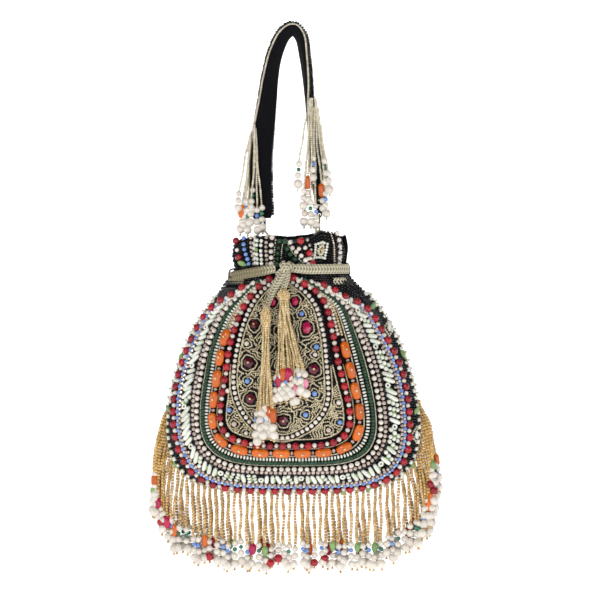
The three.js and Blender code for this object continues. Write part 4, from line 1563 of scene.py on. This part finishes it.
def braid(path: np.ndarray, wide: Callable[[float], float], thick: float, flat: Callable[[int], np.ndarray],
          relief: float = 0.34, around: int = 26) -> bpy.types.Mesh:
    """A flat plaited cord along a path: two rows of slanted stitches that meet in the middle.

    Args:
        path: Its centreline in millimetres.
        wide: Width at a share of its length.
        thick: Thickness.
        flat: The direction across its width at a point's index.
        relief: How far the stitches stand out.
        around: Points round its section.

    Returns:
        A closed mesh whose tone holds painted shade: darker in the stitches' valleys, and darker still left of
        about x = -12 mm, where the cord is painted as turned into shade.
    """
    rows, tones = [], []
    at = 0.0
    for i, centre in enumerate(path):
        ahead = path[min(i + 1, len(path) - 1)] - path[max(i - 1, 0)]
        ahead = ahead / np.linalg.norm(ahead)
        at += 0.0 if i == 0 else float(np.linalg.norm(path[i] - path[i - 1]))
        across = flat(i)
        across = across - ahead * across.dot(ahead)
        across = across / np.linalg.norm(across)
        out = np.cross(ahead, across)
        half = wide(i / (len(path) - 1)) / 2
        row = []
        for k in range(around):
            angle = 2 * math.pi * k / around
            c, s = math.cos(angle), math.sin(angle)
            u = math.copysign(abs(c) ** 0.8, c)
            stitch = math.sin(2 * math.pi * (at / 2.5 + 0.85 * abs(u)))
            lane = math.cos(4 * math.pi * u)
            height = relief * (0.8 * stitch + 0.5 * lane)
            row.append(centre + across * half * u
                       + out * math.copysign(abs(s) ** 0.55, s) * (thick / 2 + height * min(abs(s) * 2, 1)))
            # Painted shade in the tone: darker where the stitches and lanes sink, and darker towards the cord's
            # left end, as if turned away from the light.
            tones.append(0.62 - 0.5 * stitch - 0.35 * lane + 0.75 * smoothstep(-centre[0], 12, 30))
        rows.append(row)
    mesh = grid_mesh("braid", rows, True)
    layer = mesh.attributes.new("tone", "FLOAT", "POINT")
    layer.data.foreach_set("value", np.clip(np.array(tones, float), 0, 1.6))
    return outwards(mesh)


class Drawstring:
    """The flat metallic braid round the neck, its knot and two short tails."""

    def build(self) -> None:
        """Makes the cord round the neck, the knot and the tails."""
        up = np.array([0.0, 0.12, 1.0])
        start = math.atan2(-0.985, -0.05)
        ring = []
        for i in range(560):
            t = i / 559
            angle = start + 0.06 + t * (2 * math.pi - 0.24)
            near = smoothstep(t, 0.93, 1.0) + 1 - smoothstep(t, 0.0, 0.07)
            wave = 0.5 * math.cos(9 * angle + 0.6)
            side = math.cos(angle)
            ring.append(((46.8 + wave) * side - 3.4, (27.2 + wave) * math.sin(angle) - 2.0 * near,
                         -187.2 + 0.9 * side - 4.6 * max(-side, 0) ** 2 + 1.0 * near))
        around = braid(np.array(ring), lambda t: 7.8 - 1.6 * (smoothstep(t, 0.96, 1) + 1 - smoothstep(t, 0, 0.04)),
                       1.9, lambda i: up)
        lower = []
        for begin, end in ((0.35, 0.78), (2.42, 2.86)):
            arc = [SHAPE.point(a, -197.5 + 1.5 * math.sin(3 * a)) + (0, -0.6, 0)
                   for a in np.linspace(begin, end, 70)]
            lower.append(dressed(braid(np.array(arc), lambda t: 5.6, 1.6, lambda i: up, 0.28), BRAID))
        Piece("drawstring_braid", "pouch").add(dressed(around, BRAID), *lower).make("braid", "drawstring")
        self.knot()
        routes = {
            "left": [(-8.2, -36.2, -189.4), (-11.6, -37.8, -195), (-16.6, -39.8, -205), (-20.8, -42.6, -216)],
            "right": [(-5.8, -36.4, -190.4), (-6.0, -37.8, -194.2), (-6.8, -39.9, -198), (-7.4, -41.8, -202)],
        }
        for side, route in routes.items():
            path = resample(catmull(route, 16), 90 if side == "left" else 46)
            tail = braid(path, lambda t: 7.2 - 2.8 * t ** 2, 1.8, lambda i: np.array([0.93, -0.2, 0.3]))
            held = (-0.1925, -0.2015) if side == "left" else (-0.1925, -0.199)
            Piece(f"drawstring_tail_{side}_braid", f"tail_{side}", hang=held).add(dressed(tail, BRAID)).make(
                "braid", f"drawstring_tail_{side}")
        for side, sign in (("left", -1), ("right", 1)):
            drop = -4.4 if sign < 0 else 0.4
            hold = catmull([(sign * (43.6 + out) - 3.4, 0, -188 + drop + up_by) for out, up_by in
                            ((0.6, 6.2), (3.8, 4.9), (4.7, 0), (3.8, -4.9), (2.0, -6.0))], 10)
            loop = braid(hold, lambda t: 2.2, 1.0, lambda i: np.array([0.0, 1.0, 0.0]), 0.12, 12)
            Piece(f"thread_loop_{side}", "pouch").add(dressed(loop, TAPE)).make(
                "webbing", f"drawstring_loop_{side}")

    def knot(self) -> None:
        """Wraps the cord over itself in a flat knot."""
        centre = np.array([-6.6, -31.6, -187.0])
        turns = []
        for tilt, wide, reach, lean in ((0.5, 6.4, 6.4, 0.0), (-0.8, 5.6, 5.2, 1.4)):
            loop = []
            for i in range(110):
                a = 2 * math.pi * i / 109
                p = np.array([reach * 0.35 * math.cos(a), (3.4 + lean * 0.5) * math.sin(a), reach * math.cos(a)])
                c, s = math.cos(tilt), math.sin(tilt)
                loop.append(centre + (p[0] * c + p[2] * s, p[1] - lean * 0.3, -p[0] * s + p[2] * c))
            side = np.array([math.cos(tilt), 0.0, -math.sin(tilt)])
            turns.append(dressed(braid(np.array(loop), lambda t, w=wide: w, 1.8, lambda i, s=side: s), BRAID))
        Piece("drawstring_knot_braid", "pouch").add(*turns).make("braid", "drawstring_knot")


# ---------------------------------------------------------------- strap


@dataclass
class Strap:
    """The padded wrist strap: velvet inside, faceted black beads outside, a silver line on one edge."""

    width: float = 18.0
    thick: float = 6.4
    route: tuple = (
        (-25, -146), (-26.2, -122), (-26, -100), (-23.6, -76), (-20.4, -51), (-18.4, -33),
        (-14.4, -14), (-7, 1.5), (0, 5.6), (5.4, 0), (8.6, -16), (10.8, -34), (12.4, -54),
        (15.4, -74), (18.6, -96), (20.6, -118), (20.8, -135))
    twist: tuple = (-90, -88, -74, -52, -36, -28, -16, -6, 22, 40, 40)
    steps: int = 260

    def __post_init__(self) -> None:
        """Finds the strap's centreline and its frame at every step."""
        path = resample(catmull([(x, 0.0, z) for x, z in self.route], 30), self.steps + 1)
        self.centre = path
        along = np.gradient(path, axis=0)
        self.along = along / np.linalg.norm(along, axis=1)[:, None]
        out = np.cross(self.along, (0, 1, 0))
        places = np.linspace(0, 1, len(self.twist))
        turn = np.radians(np.interp(np.linspace(0, 1, self.steps + 1), places, self.twist))
        for _ in range(30):
            turn[1:-1] = (turn[:-2] + 2 * turn[1:-1] + turn[2:]) / 4
        y = np.array([0.0, 1.0, 0.0])
        self.across = np.cos(turn)[:, None] * y + np.sin(turn)[:, None] * out
        self.face = np.cos(turn)[:, None] * out - np.sin(turn)[:, None] * y

    def half(self, i: int) -> float:
        """Half the strap's width at a step: it tapers at both ends.

        Args:
            i: The step along the strap.

        Returns:
            The half width in millimetres.
        """
        v = i / self.steps
        left = smoothstep(v, -0.03, 0.02)
        right = 1 - 0.5 * smoothstep(v, 0.93, 1.0)
        return self.width / 2 * min(0.4 + 0.6 * left, right)

    def at(self, i: int, u: float, height: float) -> np.ndarray:
        """A point at a step, u from edge to edge (-1 to 1), and a height over the middle."""
        return self.centre[i] + self.across[i] * self.half(i) * u + self.face[i] * height

    def shell(self, name: str, sign: int, finish: Finish) -> bpy.types.Mesh:
        """One crowned layer, closed along its flat inner side.

        Args:
            name: The mesh's name.
            sign: Which face it lies on, 1 or -1.
            finish: Its finish.

        Returns:
            The closed mesh.
        """
        rows = []
        for i in range(0, self.steps + 1, 2):
            row = []
            for k in range(17):
                u = -1 + k / 8
                crown = (max(1 - abs(u) ** 3.2, 0)) ** 0.5
                row.append(self.at(i, u * 0.97, sign * (0.5 + 2.5 * crown)))
            row += [self.at(i, 0.97 - 1.94 * k / 8, sign * 0.5) for k in range(1, 8)]
            rows.append(row)
        return dressed(outwards(grid_mesh(name, rows, True)), finish)

    def build(self) -> None:
        """Makes both faces, the core, the rows of beads and the silver edge."""
        ground = Piece("strap_cover_cloth", "strap").add(self.shell("cover", 1, CLOTH)).make(
            "strap_beads", "strap_beaded_cover")
        velvet = Piece("strap_velvet_face", "strap").add(self.shell("velvet", -1, VELVET)).make(
            "velvet", "strap_velvet_lining")
        core = [[self.at(i, u, h) for u, h in ((-0.84, -0.45), (0.84, -0.45), (0.84, 0.45), (-0.84, 0.45))]
                for i in range(2, self.steps - 1, 4)]
        Piece("strap_core_webbing", "strap").add(
            dressed(outwards(grid_mesh("core", core, True)), TAPE)).make("webbing", "strap_core")
        rows = []
        for k in range(9):
            u = -0.98 + 1.96 * k / 8
            crown = max(1 - abs(u) ** 3.2, 0) ** 0.5
            rows.append(np.array([self.at(i, u * 0.97, 0.5 + 2.5 * crown) for i in range(3, self.steps - 2, 2)]))
        Piece("strap_black_beads", "strap").add(
            bead_rows(rows, BLACK, 2.2, (2.3, 2.5, 2.3), Bead.CUT, ground, 0.75, jitter=0.25, seed=51)
        ).make("strap_beads")
        edge = np.array([self.at(i, -1.04, -0.5) for i in range(2, self.steps - 1)])
        tip = np.array([self.at(self.steps - 3, u / 5, 3.4) for u in range(-5, 6)])
        Piece("strap_silver_edges", "strap").add(
            bead_rows([edge], SILVER, 1.75, (1.7, 1.7, 1.7), seed=52),
            bead_rows([tip], SILVER, 1.8, (1.8, 1.9, 1.9), seed=53)).make("fringe_beads")
        leaf = Spot(self.at(int(self.steps * 0.945), -0.1, 3.2), (0.1, 0, 1), (12, 6.2, 3.4))
        bud = Spot(self.at(int(self.steps * 0.75), -0.3, 3.2), (-0.3, 0, 1), (8, 4.2, 3.0))
        Piece("strap_leaves", "strap").add(
            bead_spots([leaf, bud], LEAF, Bead.LEAF, ground, 1.8)).make("strap_beads")

    def bunches(self) -> None:
        """Hangs the two bunches of strands from the strap's front edge."""
        choices = (Ending.GREEN_DROP, Ending.WHITES, Ending.ORANGE_DROP, Ending.PEARLS, Ending.GREEN_DROP,
                   Ending.WHITES, Ending.PEARLS)
        plan = {
            "left": (-7.6, -82.4, -34.0, 0.34, ((-32.6, -121), (-43.2, -124), (-41, -135), (-38.2, -130),
                     (-36.4, -137), (-34, -134), (-29, -137), (-25.4, -135), (-39.5, -137))),
            "right": (-11.2, -48.6, 14.5, 0.3, ((4.5, -100), (8.4, -122), (11.6, -112), (15.6, -96), (24.6, -98),
                      (27.6, -108), (25.4, -124), (13.6, -131), (8.8, -134), (22.6, -118), (17.6, -134))),
        }
        for side, (y, top, head, spread, ends) in plan.items():
            body = f"strands_{side}"
            bunch = Bunch(f"strap_strands_{side}_beads", body, SILVER, 1.75)
            for i, (x, z) in enumerate(ends):
                rise = 14 * noise(i, 8) if side == "left" else 4 - 11 * noise(i, 8)
                lean = 0.22 * rise if side == "left" else -0.15 * rise
                start = (head + lean + (x - head) * spread * (1 - max(rise, 0) / 20),
                         y + 0.8 * math.sin(i * 2.1), top + rise - 3)
                end = (x, y - 1.2 + 2.4 * noise(i, 6), z)
                bunch.hang(Strand(sway(start, end, 1.2, i * 1.9 + top, 14), choices[i % len(choices)], 1.1))
            bunch.make("fringe_beads", f"strap_strands_{side}", holder="strap",
                       hang=(-0.083, -0.100) if side == "left" else None)


# ---------------------------------------------------------------- lining, hardware, stage


@dataclass
class Lining:
    """The satin lining, gathered inside the mouth. Its cut, in metres, is its girth by its height."""

    cut: tuple[float, float] = (0.433, 0.199)
    cut_area: float = 0.0670

    def build(self) -> None:
        """Makes one closed cloth bag with an inner and an outer skin."""
        heights = np.linspace(-357, -163, 60)
        outer = [[SHAPE.point(2 * math.pi * k / 96, z, 3.9) for k in range(96)] for z in heights]
        inner = [[SHAPE.point(2 * math.pi * k / 96, z, 4.7) for k in range(96)] for z in heights[::-1]]
        mesh = outwards(grid_mesh("lining", outer + inner, True))
        lining = Piece("lining_satin", "pouch").add(dressed(mesh, SATIN)).make("lining_satin", "lining")


def dress_frame_nodes() -> None:
    """Gives the frame's own nodes that stay visible their finish."""
    finishes = {"link_": BRASS, "ring_tape": TAPE, "ring_": ENAMEL, "strap_end_tab": TAPE}
    for name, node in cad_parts.items():
        finish = next((f for start, f in finishes.items() if name.startswith(start)), None)
        if finish:
            for slot in node.material_slots:
                slot.material = finish.material()


@dataclass
class Stage:
    """A pale sweep, soft lights and the camera."""

    floor_z: float = -0.47
    distance: float = 2.6
    frame_size: float = 0.48
    aim: tuple[float, float] = (0.0052, -0.2112)
    glow: float = 0.9
    surround: float = 0.12

    def camera(self) -> None:
        """Places the camera level, straight in front."""
        data = bpy.data.cameras.new("camera")
        data.sensor_width = 36
        data.lens = 36 * self.distance / self.frame_size
        camera = bpy.data.objects.new("camera", data)
        camera.location = (self.aim[0], -self.distance, self.aim[1])
        camera.rotation_euler = (math.radians(90), 0, 0)
        bpy.context.scene.collection.objects.link(camera)
        bpy.context.scene.camera = camera

    def sweep(self) -> None:
        """A round floor that curves up into a low wall."""
        profile = ((4.5, 1.6), (4.5, 0.6), (4.4, 0.25), (4.1, 0.05), (3.6, 0.0), (0.0001, 0.0))
        rows = [[(r * 1000 * math.cos(2 * math.pi * k / 64), r * 1000 * math.sin(2 * math.pi * k / 64),
                  (z + self.floor_z) * 1000) for k in range(64)] for r, z in profile]
        mesh = dressed(grid_mesh("backdrop", rows, True), BACKDROP)
        if mesh.polygons[-1].normal.z < 0:
            mesh.flip_normals()
        shader = BACKDROP.material().node_tree.nodes["Principled BSDF"]
        shader.inputs["Emission Color"].default_value = (1, 1, 1, 1)
        shader.inputs["Emission Strength"].default_value = self.glow
        floor = bpy.data.objects.new("backdrop", mesh)
        bpy.context.scene.collection.objects.link(floor)

    def lights(self) -> None:
        """One large key from above left, a fill from the right and a dim surround."""
        plan = (("key", (-0.9, -2.0, 0.9), 14.5, 0.5), ("fill", (1.4, -1.9, -0.1), 3.6, 0.9),
                ("top", (0.1, -0.3, 1.4), 3.4, 0.8))
        for name, place, power, size in plan:
            data = bpy.data.lights.new(name, "AREA")
            data.energy, data.size = power, size
            light = bpy.data.objects.new(name, data)
            light.location = place
            aim = Vector((0, 0, -0.25)) - Vector(place)
            light.rotation_euler = aim.to_track_quat("-Z", "Y").to_euler()
            bpy.context.scene.collection.objects.link(light)
        world = bpy.data.worlds.new("surround")
        world.use_nodes = True
        world.node_tree.nodes["Background"].inputs["Color"].default_value = (1, 1, 1, 1)
        world.node_tree.nodes["Background"].inputs["Strength"].default_value = self.surround
        bpy.context.scene.world = world
        bpy.context.scene.view_settings.view_transform = "Standard"

    def build(self) -> None:
        """Sets the whole stage."""
        self.camera()
        self.sweep()
        self.lights()


def left_bottom(i: int) -> tuple[float, float, float]:
    """Where a strand of the left tassel ends, above its closing beads."""
    return (-28.6 + 12.6 * ((i * 5) % 11) / 10, -44.6 + 3.6 * noise(i, 2) - 1.8, -293 - 11 * noise(i, 7))


def right_bottom(i: int) -> tuple[float, float, float]:
    """Where a strand of the right tassel ends, above its closing beads."""
    return (-13.6 + 22.0 * ((i * 5) % 13) / 12, -44.4 + 3.4 * noise(i, 3) - 1.7, -263 - 9 * noise(i, 5))


def main() -> None:
    """Builds every sub-assembly in order."""
    Stage().build()
    dress_frame_nodes()
    front = Panel("front_panel", back=False).skin()
    back = Panel("back_panel", back=True).skin()
    Lining().build()
    FrontBeadwork(front).build()
    BackBeadwork(back).build()
    Seam().build()
    Fringe().build()
    Drawstring().build()
    Tassel("left", 11, 9.4, left_bottom, (
        Ending.PEARLS, Ending.WHITES, Ending.ORANGE_DROP, Ending.PEARLS, Ending.WHITES, Ending.RED_DROP)).build()
    Tassel("right", 13, 10.8, right_bottom, (
        Ending.PEARLS, Ending.PINK_DROP, Ending.WHITES, Ending.GREEN_DROP, Ending.ORANGE_DROP,
        Ending.ROSE_DROP, Ending.PEARLS)).build()
    strap = Strap()
    strap.build()
    strap.bunches()


if __name__ == "__main__":
    main()
